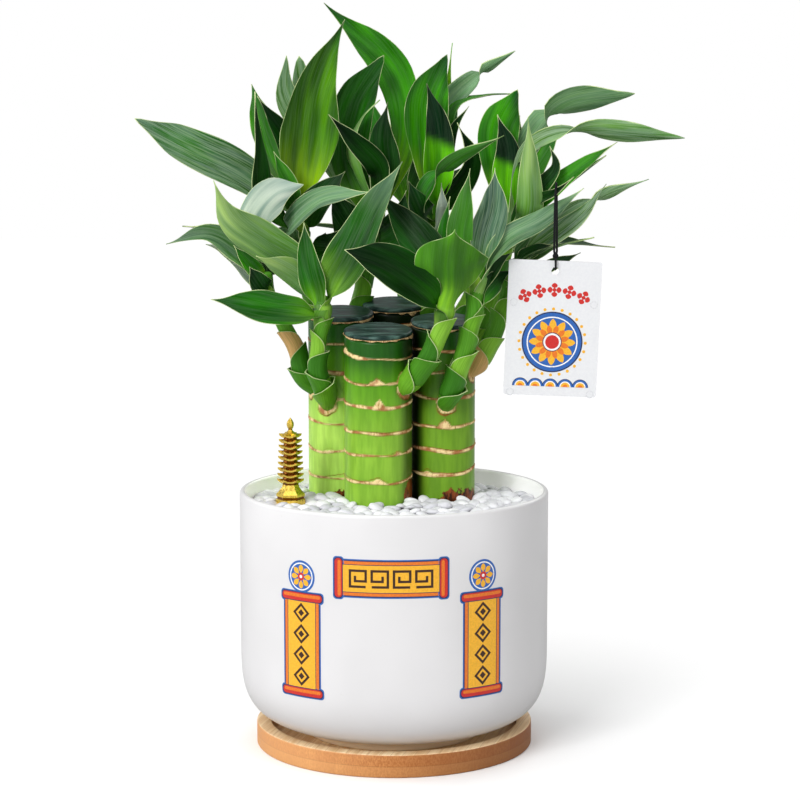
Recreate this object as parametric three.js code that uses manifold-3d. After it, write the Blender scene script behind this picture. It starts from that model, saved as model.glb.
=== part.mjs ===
// A potted lucky bamboo: four thick canes with leafy shoots, in a white ceramic pot on a bamboo saucer.
// Pale pebbles cover the soil. A small gilt pagoda stands in them, and a card tag hangs from a leaf.
// Millimetres, +Z up. The origin is the centre of the saucer's underside, and the front faces -Y.

import * as THREE from "three";
import { mergeVertices } from "three/addons/utils/BufferGeometryUtils.js";
import Module from "manifold-3d";

const wasm = await Module();
wasm.setup();

// Driving dimensions
const clearance = 0.3;
const roundSides = 32;

const saucerRadius = 67.3;
const saucerThickness = 11;
const saucerRecessRadius = 60;
const saucerFloor = 6;

const potRadius = 75;
const potRim = 125;
const potWall = 3.2;
const potUnderside = 10.75;
const potFloor = 15;
const potFootRadius = 44;
const potCornerReach = 50;
const potCornerTop = 52.5;
const potCornerPower = 3.69;

const soilTop = 112;
const plantingDepth = 40;
const bedEdge = 114.5;
const bedMiddle = 117;
const pebbleSpacing = 12.4;
const pebbleReach = 5.4;
const pebbleShift = 1.6;
const pebbleRise = 4.2;
const pebbleSeed = 7;

const caneSides = 16;
const caneRidge = 0.6;
const caneWaist = 0.4;
const caneTilt = 0.125;
const tiltFrom = 40;
const tiltFull = 120;
const waxThickness = 2.4;

const bladeThickness = 0.8;
const wideBlade = 20.5;
const wideSteps = 6;
const narrowSteps = 5;
const stemSides = 7;
const stemSteps = 8;

const pagodaPlace = [-50, -5];
const pagodaFoot = 118;
const pagodaTiers = 9;
const pagodaTurn = Math.PI / 6;

const hole = { x: 77, y: -6, z: 231, radius: 2 };
const tagWidth = 44.6;
const tagHeight = 65;
const tagAboveHole = 5;
const tagThickness = 0.8;
const tagCorner = 1.2;
const tagTilt = THREE.MathUtils.degToRad(2.2);
const cordRadius = 0.55;

// Each cane: its place, its radius, the height of its sealed top and the heights of its ring scars
const canes = {
  front: { x: -7.7, y: 4, radius: 16.7, top: 202.3, rings: [130.7, 143.9, 155, 168, 179.1, 190.6] },
  left: { x: -26.5, y: 33, radius: 16.3, top: 208.3, rings: [129, 142, 156.4, 169.3, 182, 195] },
  back: { x: 0, y: 52.5, radius: 15.9, top: 211, rings: [128, 141, 154, 166, 178, 190, 202] },
  right: { x: 24, y: 16, radius: 15.9, top: 206, rings: [133.4, 144.7, 156.5, 170.7, 182.8, 193.5] },
};

// Colours, with roughness and metalness
const finishes = {
  bambooWood: [0xd3a36a, 0.6, 0],
  glaze: [0xf1f1f0, 0.15, 0],
  soil: [0x3a2b20, 0.95, 0],
  pebble: [0xd6d7dc, 0.6, 0],
  cane: [0x86b83a, 0.4, 0],
  wax: [0x14483d, 0.3, 0],
  leaf: [0x2f7d23, 0.4, 0],
  gilt: [0xd9a62b, 0.25, 1],
  card: [0xf4f5f7, 0.5, 0],
  cord: [0x151515, 0.8, 0],
};

const lucky = new THREE.Group();

function add(name, solid, finish) {
  const [color, roughness, metalness] = finishes[finish];
  const material = new THREE.MeshStandardMaterial({ color, roughness, metalness });
  const mesh = new THREE.Mesh(geometryOf(solid), material);
  mesh.name = name;
  lucky.add(mesh);
}

// Solids and meshes
function volumeOf(positions, triangles) {
  let sixfold = 0;
  const corner = [new THREE.Vector3(), new THREE.Vector3(), new THREE.Vector3()];
  for (let i = 0; i < triangles.length; i += 3) {
    corner.forEach((point, k) => point.fromArray(positions, 3 * triangles[i + k]));
    sixfold += corner[0].dot(corner[1].cross(corner[2]));
  }
  return sixfold / 6;
}

function solidOf(geometry) {
  const bare = geometry.clone();
  bare.deleteAttribute("normal");
  bare.deleteAttribute("uv");
  const merged = mergeVertices(bare, 1e-4);
  const positions = new Float32Array(merged.attributes.position.array);
  const triangles = [];
  for (let i = 0; i < merged.index.count; i += 3) {
    const [a, b, c] = [0, 1, 2].map((k) => merged.index.getX(i + k));
    if (a !== b && b !== c && c !== a) {
      triangles.push(a, b, c);
    }
  }
  if (volumeOf(positions, triangles) < 0) {
    triangles.reverse();
  }
  const mesh = new wasm.Mesh({
    numProp: 3,
    vertProperties: positions,
    triVerts: new Uint32Array(triangles),
  });
  return new wasm.Manifold(mesh);
}

function geometryOf(solid) {
  const mesh = solid.getMesh();
  const geometry = new THREE.BufferGeometry();
  geometry.setAttribute("position", new THREE.BufferAttribute(new Float32Array(mesh.vertProperties), 3));
  geometry.setIndex(Array.from(mesh.triVerts));
  geometry.computeVertexNormals();
  return geometry;
}

function lathe(profile, sides) {
  const points = profile.map(([radius, height]) => new THREE.Vector2(radius, height));
  return new THREE.LatheGeometry(points, sides).rotateX(Math.PI / 2);
}

function post(place, radius, bottom, top, sides, turn = 0) {
  const profile = [[0, bottom], [radius, bottom], [radius, top], [0, top]];
  return solidOf(lathe(profile, sides).rotateZ(turn).translate(place.x, place.y, 0));
}

function largest(solid) {
  const bodies = solid.decompose();
  return bodies.reduce((best, body) => (body.volume() > best.volume() ? body : best));
}

// The round bamboo saucer
function saucer() {
  const edge = 0.8;
  return solidOf(lathe([
    [0, 0],
    [saucerRadius - edge, 0],
    [saucerRadius, edge],
    [saucerRadius, saucerThickness - edge],
    [saucerRadius - edge, saucerThickness],
    [saucerRecessRadius + edge, saucerThickness],
    [saucerRecessRadius, saucerThickness - edge],
    [saucerRecessRadius, saucerFloor],
    [0, saucerFloor],
  ], roundSides));
}

// The round-cornered outline that the pot has outside and inside, from the floor up to the straight wall
function potCorner(outerRadius, floor, count) {
  const middle = potRadius - potCornerReach;
  const points = [];
  for (let i = 0; i <= count; i += 1) {
    const angle = (i / count) * Math.PI / 2;
    const across = Math.sin(angle) ** (2 / potCornerPower);
    const up = 1 - Math.cos(angle) ** (2 / potCornerPower);
    points.push([middle + (outerRadius - middle) * across, floor + (potCornerTop - floor) * up]);
  }
  return points;
}

function pot() {
  const rimRound = potWall / 2;
  const inner = potRadius - potWall;
  const footInner = potFootRadius - 5;
  const outside = potCorner(potRadius, potUnderside, 7).filter(([radius]) => radius > potFootRadius + 1);
  const inside = potCorner(inner, potFloor, 4).reverse();
  return solidOf(lathe([
    [0, potUnderside - 2],
    [footInner, potUnderside - 2],
    [footInner, saucerFloor],
    [potFootRadius - 1, saucerFloor],
    [potFootRadius, saucerFloor + 1],
    [potFootRadius, potUnderside],
    ...outside,
    [potRadius, potRim - rimRound],
    [potRadius - rimRound * 0.6, potRim],
    [inner + rimRound * 0.6, potRim],
    [inner, potRim - rimRound],
    ...inside,
    [0, potFloor],
  ], roundSides));
}

// The soil, with a plain hole for each cane
function soil() {
  const radius = potRadius - potWall - clearance;
  const floor = potFloor + clearance;
  const profile = [[0, floor], ...potCorner(radius, floor, 4), [radius, soilTop], [0, soilTop]];
  let solid = solidOf(lathe(profile, roundSides));
  for (const cane of Object.values(canes)) {
    solid = solid.subtract(post(cane, cane.radius + clearance, plantingDepth, soilTop + 1, caneSides));
  }
  return solid;
}

// The pebbles: a bed that rises to its middle, with a dome for each pebble
function randomFrom(seed) {
  let state = seed;
  return () => {
    state = (state * 16807) % 2147483647;
    return state / 2147483647;
  };
}

function bedHeight(radius) {
  const outer = potRadius - potWall;
  return bedMiddle - (bedMiddle - bedEdge) * (radius / outer) ** 2;
}

function pebbles() {
  const random = randomFrom(pebbleSeed);
  const outer = potRadius - potWall - clearance;
  const half = outer * 0.6;
  const bed = [[0, soilTop], [outer, soilTop], [outer, bedHeight(outer)], [half, bedHeight(half)], [0, bedMiddle]];
  const solids = [solidOf(lathe(bed, roundSides))];
  const rows = Math.ceil(outer / (pebbleSpacing * 0.866));
  for (let row = -rows; row <= rows; row += 1) {
    for (let column = -rows; column <= rows; column += 1) {
      const x = (column + (row % 2) / 2) * pebbleSpacing + (random() - 0.5) * pebbleShift;
      const y = row * pebbleSpacing * 0.866 + (random() - 0.5) * pebbleShift;
      const size = pebbleReach * (0.9 + 0.2 * random());
      const turn = random() * Math.PI;
      const fromMiddle = Math.hypot(x, y);
      const inCane = Object.values(canes).some((cane) => Math.hypot(x - cane.x, y - cane.y) < cane.radius);
      if (inCane || fromMiddle > outer - size * 0.95) {
        continue;
      }
      const dome = new THREE.SphereGeometry(1, 5, 3).rotateX(Math.PI / 2).scale(size, size * 0.8, pebbleRise);
      dome.rotateZ(turn).translate(x, y, bedHeight(fromMiddle) - 0.6);
      solids.push(solidOf(dome));
    }
  }
  let solid = wasm.Manifold.union(solids);
  solid = solid.subtract(post({ x: 0, y: 0 }, outer + 9, soilTop - 9, soilTop, roundSides));
  for (const cane of Object.values(canes)) {
    solid = solid.subtract(post(cane, cane.radius + clearance, soilTop - 1, potRim, caneSides));
  }
  const pit = { x: pagodaPlace[0], y: pagodaPlace[1] };
  solid = solid.subtract(post(pit, 7.4 + clearance, pagodaFoot, potRim, 6, pagodaTurn));
  return largest(solid);
}

// The canes, whose rings and cut tops slope down to the front
function slope(geometry, cane) {
  const positions = geometry.attributes.position;
  for (let i = 0; i < positions.count; i += 1) {
    const share = THREE.MathUtils.clamp((positions.getZ(i) - tiltFrom) / (tiltFull - tiltFrom), 0, 1);
    positions.setZ(i, positions.getZ(i) + share * caneTilt * positions.getY(i));
  }
  return geometry.translate(cane.x, cane.y, 0);
}

function caneSolid(cane) {
  const top = cane.top - waxThickness - clearance;
  const profile = [[0, plantingDepth], [cane.radius, plantingDepth], [cane.radius, tiltFull]];
  let below = tiltFull;
  for (const ring of cane.rings) {
    profile.push([cane.radius - caneWaist, (below + ring) / 2], [cane.radius + caneRidge, ring]);
    below = ring;
  }
  profile.push([cane.radius - caneWaist, top - 1], [cane.radius - 1.2, top], [0, top]);
  return solidOf(slope(lathe(profile, caneSides), cane));
}

function waxSolid(cane) {
  const bottom = cane.top - waxThickness;
  const profile = [[0, bottom], [cane.radius - 0.6, bottom], [cane.radius, bottom + 0.8]];
  profile.push([cane.radius - 0.6, cane.top - 0.5], [cane.radius - 2, cane.top], [0, cane.top]);
  return solidOf(slope(lathe(profile, caneSides), cane));
}

// A leaf starts on its stem, at a share of the stem's length, and runs through the points that follow.
// Its upper face looks along the first direction at its base and along the second at its tip.
const plainForm = { peak: 0.4, neck: 0.36, taper: 0.82, fold: 10, wave: 0.9 };

function leaf(start, width, through, baseFace, tipFace, form = {}) {
  return { start, width, through, baseFace, tipFace, ...plainForm, ...form };
}

// Where along its length a blade widens and narrows, as a share of its full width
function bladeWidth(along, { peak, neck, taper }) {
  if (along < peak) {
    return neck + (1 - neck) * Math.sin((Math.PI / 2) * (along / peak)) ** 1.1;
  }
  return Math.cos((Math.PI / 2) * ((along - peak) / (1 - peak))) ** taper;
}

// A thin curved blade with waved edges. A wide one has a keel along its middle.
function bladeSolid(shape, stem) {
  const points = [stem.getPointAt(shape.start), ...shape.through.map((p) => new THREE.Vector3(...p))];
  const midrib = new THREE.CatmullRomCurve3(points);
  const first = new THREE.Vector3(...shape.baseFace).normalize();
  const last = new THREE.Vector3(...shape.tipFace).normalize();
  const hands = shape.width < wideBlade ? [-1, 1] : [-1, 0, 1];
  const steps = shape.width < wideBlade ? narrowSteps : wideSteps;
  const upper = [];
  const lower = [];
  for (let i = 0; i <= steps; i += 1) {
    const along = i / steps;
    const centre = midrib.getPointAt(along);
    const tangent = midrib.getTangentAt(along);
    const normal = first.clone().lerp(last, along);
    normal.addScaledVector(tangent, -normal.dot(tangent)).normalize();
    const side = tangent.clone().cross(normal);
    const half = Math.max(0.5, (shape.width / 2) * bladeWidth(along, shape));
    const fold = THREE.MathUtils.degToRad(shape.fold + 34 * (1 - along) ** 4);
    const swing = shape.wave * Math.sin(Math.PI * along);
    for (const hand of hands) {
      const lift = Math.abs(hand) * (half * Math.sin(fold) + swing * Math.sin(9 * along + hand + shape.width));
      const point = centre.clone().addScaledVector(side, hand * half * Math.cos(fold));
      point.addScaledVector(normal, lift);
      upper.push(point.clone().addScaledVector(normal, bladeThickness / 2));
      lower.push(point.clone().addScaledVector(normal, -bladeThickness / 2));
    }
  }
  const faces = [];
  const quad = (a, b, c, d) => faces.push(a, b, c, a, c, d);
  const under = upper.length;
  const row = hands.length;
  const edge = row - 1;
  for (let i = 0; i < steps; i += 1) {
    const start = row * i;
    for (let k = start; k < start + edge; k += 1) {
      quad(k, k + 1, k + 1 + row, k + row);
      faces.push(under + k, under + k + 1 + row, under + k + 1);
      faces.push(under + k, under + k + row, under + k + 1 + row);
    }
    quad(start, start + row, under + start + row, under + start);
    quad(start + edge, under + start + edge, under + start + edge + row, start + edge + row);
  }
  for (let k = 0; k < edge; k += 1) {
    const end = row * steps + k;
    quad(k, under + k, under + k + 1, k + 1);
    quad(end, end + 1, under + end + 1, under + end);
  }
  const geometry = new THREE.BufferGeometry().setFromPoints([...upper, ...lower]);
  geometry.setIndex(faces);
  return solidOf(geometry);
}

// A stem of sheaths that sit in each other, each a little wider at its top, with a round end
function stemSolid(stem, thick, thin) {
  const rings = [];
  const frames = stem.computeFrenetFrames(stemSteps);
  for (let i = 0; i <= stemSteps; i += 1) {
    const centre = stem.getPointAt(i / stemSteps);
    const flare = i % 3 === 1 ? 1.12 : 0.95;
    const radius = (thick + (thin - thick) * Math.min(1, 1.6 * i / stemSteps)) * flare;
    const ring = [];
    for (let k = 0; k < stemSides; k += 1) {
      const angle = (k / stemSides) * 2 * Math.PI;
      const point = centre.clone().addScaledVector(frames.normals[i], radius * Math.cos(angle));
      ring.push(point.addScaledVector(frames.binormals[i], radius * Math.sin(angle)));
    }
    rings.push(ring);
  }
  const points = rings.flat();
  const bottom = points.push(stem.getPointAt(0)) - 1;
  const tip = stem.getPointAt(1).addScaledVector(stem.getTangentAt(1), thin);
  const top = points.push(tip) - 1;
  const faces = [];
  for (let k = 0; k < stemSides; k += 1) {
    const next = (k + 1) % stemSides;
    for (let i = 0; i < stemSteps; i += 1) {
      const [a, b] = [i * stemSides + k, i * stemSides + next];
      faces.push(a, b, b + stemSides, a, b + stemSides, a + stemSides);
    }
    const last = stemSteps * stemSides;
    faces.push(bottom, next, k);
    faces.push(top, last + k, last + next);
  }
  const geometry = new THREE.BufferGeometry().setFromPoints(points);
  geometry.setIndex(faces);
  return solidOf(geometry);
}

// The leafy shoots: the stem's route, its radius at its foot and at its top, and its leaves
const shoots = {
  left_front: {
    route: [[-32, 21, 163], [-34, 14, 171], [-37, 8, 182], [-36, 4, 197], [-34, 3, 210], [-35, 3, 217]],
    radii: [6.2, 3.4],
    leaves: [
      leaf(0.86, 20, [[-59, -5, 212], [-87, -12, 218]], [-0.1, -0.85, 0.5], [-0.1, -0.8, 0.6]),
      leaf(0.95, 22, [[-45, 7, 231], [-63, 5, 243], [-79, 1, 256], [-86, -2, 274]], [0.3, 0.9, 0.3],
        [0.3, 0.95, 0.1], { peak: 0.55 }),
      leaf(0.92, 13.5, [[-40, -2, 232], [-43, -3, 254]], [-0.3, -1, 0.1], [-0.3, -1, 0.1]),
      leaf(0.97, 15.5, [[-49, 3, 229], [-66, -2, 238]], [0.2, 0.9, 0.4], [0.2, 0.9, 0.4]),
      leaf(0.95, 26, [[-21, -6, 235], [-10, -8, 259], [4, -6, 283]], [-0.4, -0.9, 0.2], [-0.5, -0.8, 0.3]),
    ],
  },
  left_side: {
    route: [[-38, 28, 169], [-44, 26, 176], [-48, 23, 190], [-55, 21, 205], [-61, 20, 219], [-62, 20, 227]],
    radii: [5.6, 3],
    leaves: [
      leaf(0.9, 14, [[-75, 17, 238], [-90, 14, 247], [-110, 8, 243]], [0, -0.8, 0.6], [0, -0.8, 0.6]),
      leaf(0.8, 7, [[-74, 27, 231], [-84, 26, 239], [-92, 23, 242]], [0, -0.5, 0.9], [0, -0.5, 0.9]),
      leaf(0.95, 9, [[-69, 17, 231], [-78, 16, 242]], [0.3, -0.9, 0.3], [0.3, -0.9, 0.3]),
      leaf(0.85, 12, [[-64, 12, 222], [-70, 10, 232]], [0, -0.9, 0.4], [0, -0.9, 0.4]),
      leaf(1, 19, [[-67, 22, 238], [-67, 23, 252], [-58, 24, 264], [-44, 22, 271]], [-0.4, -0.9, 0.3],
        [-0.3, -0.8, 0.5], { peak: 0.6 }),
    ],
  },
  left_back: {
    route: [[-32, 41, 190], [-37, 47, 202], [-42, 48, 220], [-46, 47, 240], [-47, 45, 258]],
    radii: [6, 3.4],
    leaves: [
      leaf(0.95, 22, [[-74, 40, 275], [-101, 32, 289], [-126, 24, 303]], [0.1, -0.9, 0.4], [0.1, -0.9, 0.4]),
      leaf(0.8, 15, [[-65, 36, 263], [-67, 33, 288], [-68, 33, 316]], [0.85, -0.5, 0], [0.85, -0.5, 0]),
      leaf(0.95, 16, [[-51, 52, 287], [-68, 50, 314]], [0.2, -1, 0], [0.2, -1, 0]),
      leaf(1, 32, [[-43, 46, 290], [-38, 42, 319], [-24, 36, 351]], [0.05, -1, 0.1], [0.05, -1, 0.1]),
      leaf(0.9, 11, [[-51, 34, 270], [-59, 31, 287]], [-0.3, -0.9, 0.2], [-0.3, -0.9, 0.2]),
      leaf(0.75, 14, [[-52, 28, 248], [-36, 18, 263], [-12, 9, 268]], [0, -0.75, 0.65], [0, -0.75, 0.65]),
      leaf(0.85, 13, [[-37, 38, 263], [-24, 36, 277]], [0, -0.9, 0.4], [0, -0.9, 0.4]),
      leaf(0.6, 15, [[-58, 36, 232], [-72, 30, 226]], [0, -0.8, 0.6], [0, -0.8, 0.6]),
      leaf(0.7, 16, [[-30, 34, 238], [-17, 28, 252]], [0.2, -0.9, 0.4], [0.2, -0.9, 0.4]),
      leaf(0.9, 18, [[-66, 72, 270], [-92, 96, 290]], [0.5, -0.4, 0.8], [0.5, -0.4, 0.8]),
      leaf(0.97, 19, [[-62, 72, 286], [-74, 104, 320]], [0.4, -0.8, 0.5], [0.4, -0.8, 0.5]),
      leaf(0.75, 15, [[-76, 62, 246], [-108, 74, 248]], [0.2, 0, 1], [0.2, 0, 1]),
    ],
  },
  back_left: {
    route: [[-12, 53, 193], [-18, 55, 203], [-15, 57, 219], [-11, 56, 240], [-8, 52, 260]],
    radii: [5.4, 3.4],
    leaves: [
      leaf(0.95, 13, [[-7, 38, 277], [-19, 33, 291], [-32, 28, 305]], [-0.4, -0.75, 0.5], [-0.4, -0.75, 0.5]),
      leaf(1, 17, [[-5, 46, 278], [-6, 44, 295], [-3, 42, 311]], [0.1, -1, 0.1], [0.1, -1, 0.1]),
      leaf(0.85, 22, [[-23, 58, 280], [-20, 56, 309], [-5, 52, 334]], [0.2, -0.95, 0], [0.2, -0.95, 0]),
      leaf(0.95, 19, [[5, 64, 292], [0, 66, 324], [-35, 62, 360]], [0.25, -0.95, 0], [0.25, -0.95, 0],
        { peak: 0.6 }),
      leaf(0.8, 10, [[-35, 68, 287], [-54, 70, 314], [-54, 66, 334]], [0.2, 0.9, -0.3], [0.2, 0.9, -0.3]),
      leaf(0.85, 10, [[-33, 76, 297], [-45, 76, 322], [-49, 74, 333]], [0.2, 0.9, -0.3], [0.2, 0.9, -0.3]),
      leaf(0.9, 11, [[-22, 50, 287], [-16, 51, 303], [-7, 52, 312]], [0.75, 0.3, -0.5], [0.75, 0.3, -0.5]),
      leaf(0.6, 17, [[-21, 44, 250], [-32, 40, 268]], [-0.2, -0.9, 0.4], [-0.2, -0.9, 0.4]),
      leaf(0.7, 16, [[1, 36, 250], [6, 30, 268]], [0.1, -0.9, 0.3], [0.1, -0.9, 0.3]),
    ],
  },
  back_right: {
    route: [[11, 50, 198], [17, 48, 208], [18, 48, 225], [19, 44, 243], [19, 40, 260]],
    radii: [5.4, 3.4],
    leaves: [
      leaf(1, 22, [[17, 42, 287], [17, 40, 312], [26, 35, 334]], [-0.1, -1, 0], [-0.1, -1, 0], { peak: 0.6 }),
      leaf(0.95, 17, [[22, 34, 278], [21, 32, 300], [16, 30, 320]], [0.1, -1, 0.1], [0.1, -1, 0.1]),
      leaf(0.9, 8, [[26, 52, 314], [29, 52, 340]], [0.6, -0.8, 0], [0.6, -0.8, 0]),
      leaf(0.95, 11, [[25, 48, 307], [43, 50, 325], [60, 48, 336]], [0.3, -0.7, 0.6], [-0.4, -0.85, 0.2]),
      leaf(0.9, 11, [[29, 46, 308], [45, 46, 314], [59, 44, 315]], [0, -0.35, 1], [0, -0.35, 1]),
      leaf(0.95, 8, [[29, 42, 297], [37, 40, 309]], [0.3, -0.8, 0.5], [0.3, -0.8, 0.5]),
      leaf(0.9, 13, [[38, 32, 281], [31, 32, 301]], [0.5, -0.8, 0.2], [0.5, -0.8, 0.2]),
      leaf(0.85, 9, [[15, 22, 266], [27, 16, 281], [53, 12, 295]], [-0.2, -0.5, 0.8], [0.3, -0.8, 0.5]),
      leaf(0.8, 12, [[13, 22, 259], [7, 18, 273]], [0, -0.9, 0.4], [0, -0.9, 0.4]),
      leaf(0.75, 7, [[23, 20, 260], [23, 19, 272]], [0.7, -0.7, 0], [0.7, -0.7, 0]),
    ],
  },
  front_right: {
    route: [[2, -5, 171], [6, -10, 177], [14, -16, 190], [22, -20, 204], [25, -22, 216]],
    radii: [6.4, 4],
    leaves: [
      leaf(0.95, 23, [[12, -27, 225], [-4, -31, 236], [-23, -34, 243]], [-0.2, -0.9, 0.45], [-0.2, -0.85, 0.5]),
      leaf(1, 37, [[26, -27, 226], [26, -34, 236], [28, -44, 253]], [0, 1, 0.3], [0, 0.8, 0.6],
        { peak: 0.5, neck: 0.28, taper: 1.35, wave: 0.4 }),
      leaf(0.97, 22, [[17, -6, 239], [5, 3, 254], [-8, 9, 269]], [-0.3, -0.85, 0.4], [-0.3, -0.85, 0.4]),
      leaf(1, 11, [[24, 6, 250], [27, 8, 266]], [0.1, -1, 0], [0.1, -1, 0]),
    ],
  },
  right_front: {
    route: [[25, 5, 159], [25, -1, 166], [31, -8, 184], [36, -12, 202], [39, -12, 220], [40, -12, 233]],
    radii: [6, 3.6],
    leaves: [
      leaf(0.97, 13, [[31, -14, 245], [33, -14, 263], [36, -12, 280]], [0.1, 1, 0], [0.1, 1, 0]),
      leaf(1, 18, [[43, -8, 247], [47, -6, 262], [48, -4, 280]], [0.1, -1, 0.15], [0.1, -1, 0.15]),
      leaf(0.95, 12, [[54, -8, 246], [71, 0, 255], [91, 4, 270]], [-0.3, -0.9, 0.35], [-0.3, -0.9, 0.35]),
      leaf(0.75, 10, [[46, -10, 224], [51, -1, 228], [57, 1, 231]], [0, -1, 0.1], [0, -1, 0.1]),
      leaf(0.8, 10, [[49, -1, 234], [58, 3, 240]], [-0.1, -0.7, 0.7], [-0.1, -0.7, 0.7]),
    ],
  },
  right_side: {
    route: [[36, 11, 180], [42, 8, 187], [48, 8, 199], [53, 9, 213], [57, 10, 225], [59, 10, 234]],
    radii: [5.6, 3.2],
    leaves: [
      leaf(1, 14, [[74, 10, 244], [91, 8, 258], [102, 6, 272]], [-0.3, -0.85, 0.45], [-0.3, -0.85, 0.45]),
      leaf(0.95, 12, [[81, 16, 253], [102, 14, 266], [123, 12, 274]], [0.1, -0.35, 1], [0.1, -0.35, 1]),
      leaf(0.9, 6.5, [[76, 14, 240], [97, 12, 246]], [0, -0.3, 1], [0, -0.3, 1]),
      leaf(0.9, 13, [[63, 4, 238], [77, 4, 243]], [0, -0.4, 1], [0, -0.4, 1]),
      leaf(0.85, 8.5, [[73, 8, 231], [90, 6, 239]], [-0.2, -0.8, 0.5], [-0.2, -0.8, 0.5]),
      leaf(0.97, 13, [[68, 16, 243], [78, 20, 249]], [0, -0.8, 0.6], [0, -0.8, 0.6]),
    ],
  },
  right_back: {
    route: [[35, 20, 189], [40, 22, 196], [47, 26, 214], [54, 28, 236], [57, 27, 256]],
    radii: [5.6, 3.4],
    leaves: [
      leaf(1, 21, [[53, 29, 273], [51, 27, 297], [60, 23, 317]], [-0.05, -1, 0], [-0.05, -1, 0], { peak: 0.6 }),
      leaf(0.95, 16, [[55, 22, 268], [55, 20, 288], [50, 18, 305]], [0.1, -1, 0.1], [0.1, -1, 0.1]),
      leaf(0.85, 14, [[65, 5, 257], [65, 3, 281], [64, 3, 304]], [0, 1, 0.1], [0, 1, 0.1]),
      leaf(0.95, 12, [[64, 30, 288], [81, 24, 308], [116, 14, 315]], [0.3, -0.8, 0.5], [-0.1, -0.9, 0.45],
        { peak: 0.66 }),
      leaf(0.9, 10, [[66, 18, 288], [87, 10, 297], [113, 2, 296], [138, -4, 294]], [0.1, -0.5, 0.85],
        [0, -0.9, 0.45], { peak: 0.7 }),
      leaf(0.9, 13.5, [[73, 16, 266], [90, 10, 280], [107, 6, 292]], [-0.4, -0.8, 0.4], [-0.4, -0.8, 0.4]),
      leaf(0.9, 11, [[70, 13, 269], [78, 9, 280], [75, 11, 290]], [-0.4, -0.8, 0.3], [-0.4, -0.8, 0.3]),
      leaf(0.85, 7, [[68, 11, 262.5], [77, -6, 268.7], [85, -12, 276]], [-0.1, -1, 0.25], [-0.1, -1, 0.25],
        { wave: 0.3 }),
    ],
  },
  far_back: {
    route: [[2, 62, 187], [4, 69, 196], [7, 77, 213], [9, 82, 234], [9, 84, 254]],
    radii: [6, 3.4],
    leaves: [
      leaf(0.9, 19, [[-12, 98, 262], [-44, 112, 286]], [0.3, -0.1, 1], [0.2, 0.1, 1]),
      leaf(0.97, 22, [[12, 100, 275], [14, 122, 312]], [0, -0.8, 0.6], [0, -0.8, 0.6]),
      leaf(0.92, 18, [[30, 96, 268], [62, 112, 292]], [-0.3, -0.2, 1], [-0.3, -0.2, 1]),
      leaf(1, 20, [[-8, 92, 288], [-20, 104, 322]], [0.3, -0.9, 0.3], [0.3, -0.9, 0.3]),
      leaf(0.98, 20, [[21, 90, 284], [34, 98, 316]], [-0.4, -0.9, 0.2], [-0.4, -0.9, 0.2]),
      leaf(0.8, 17, [[8, 108, 246], [6, 132, 236]], [0, 0.2, 1], [0, 0.2, 1]),
      leaf(0.8, 15, [[-20, 98, 244], [-52, 108, 248]], [0, 0.2, 1], [0, 0.2, 1]),
    ],
  },
  far_right: {
    route: [[25, 28, 183], [26, 33, 192], [34, 43, 206], [45, 50, 224], [52, 54, 244]],
    radii: [6, 3.4],
    leaves: [
      leaf(0.95, 18, [[78, 64, 262], [108, 74, 284]], [-0.4, -0.2, 0.9], [-0.4, -0.2, 0.9]),
      leaf(0.97, 20, [[68, 66, 272], [86, 84, 298]], [-0.5, -0.7, 0.4], [-0.5, -0.7, 0.4]),
      leaf(1, 18, [[61, 63, 274], [64, 76, 304]], [0, -1, 0.3], [0, -1, 0.3]),
      leaf(0.85, 16, [[80, 58, 240], [112, 62, 238]], [0, -0.1, 1], [0, -0.1, 1]),
      leaf(0.9, 16, [[64, 76, 250], [78, 104, 262]], [-0.2, -0.3, 1], [-0.2, -0.3, 1]),
    ],
  },
};

// The room that each cane and its sealed top take, with a little clearance
function caneRoom(cane) {
  const radius = (cane.radius + caneRidge + clearance) / Math.cos(Math.PI / caneSides);
  const top = cane.top + clearance;
  const profile = [[0, plantingDepth], [radius, plantingDepth], [radius, tiltFull], [radius, top], [0, top]];
  return solidOf(slope(lathe(profile, caneSides), cane));
}

function shootSolid(shoot, room) {
  const stem = new THREE.CatmullRomCurve3(shoot.route.map((p) => new THREE.Vector3(...p)));
  const blades = shoot.leaves.map((shape) => bladeSolid(shape, stem));
  const whole = wasm.Manifold.union([stemSolid(stem, ...shoot.radii), ...blades]);
  return largest(whole.subtract(room));
}

// The small gilt pagoda, six-sided, with a flared stand, nine roofs and a beaded finial
function pagoda() {
  const foot = pagodaFoot;
  const profile = [[0, foot], [7.3, foot], [7.3, foot + 2], [4.8, foot + 3.8], [6.9, foot + 6.2]];
  profile.push([6.9, foot + 7.4], [5.2, foot + 8.6]);
  for (let tier = 0; tier < pagodaTiers; tier += 1) {
    const base = foot + 9 + tier * 2.9;
    const shrink = 1 - 0.035 * tier;
    profile.push([4.4 * shrink, base + 0.2], [6.5 * shrink, base + 1.7], [4.6 * shrink, base + 1.9]);
  }
  profile.push([1, foot + 36.4], [1.9, foot + 37.8], [0.9, foot + 39.2], [1.3, foot + 40.3], [0, foot + 42.5]);
  return solidOf(lathe(profile, 6).rotateZ(pagodaTurn).translate(...pagodaPlace, 0));
}

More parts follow.
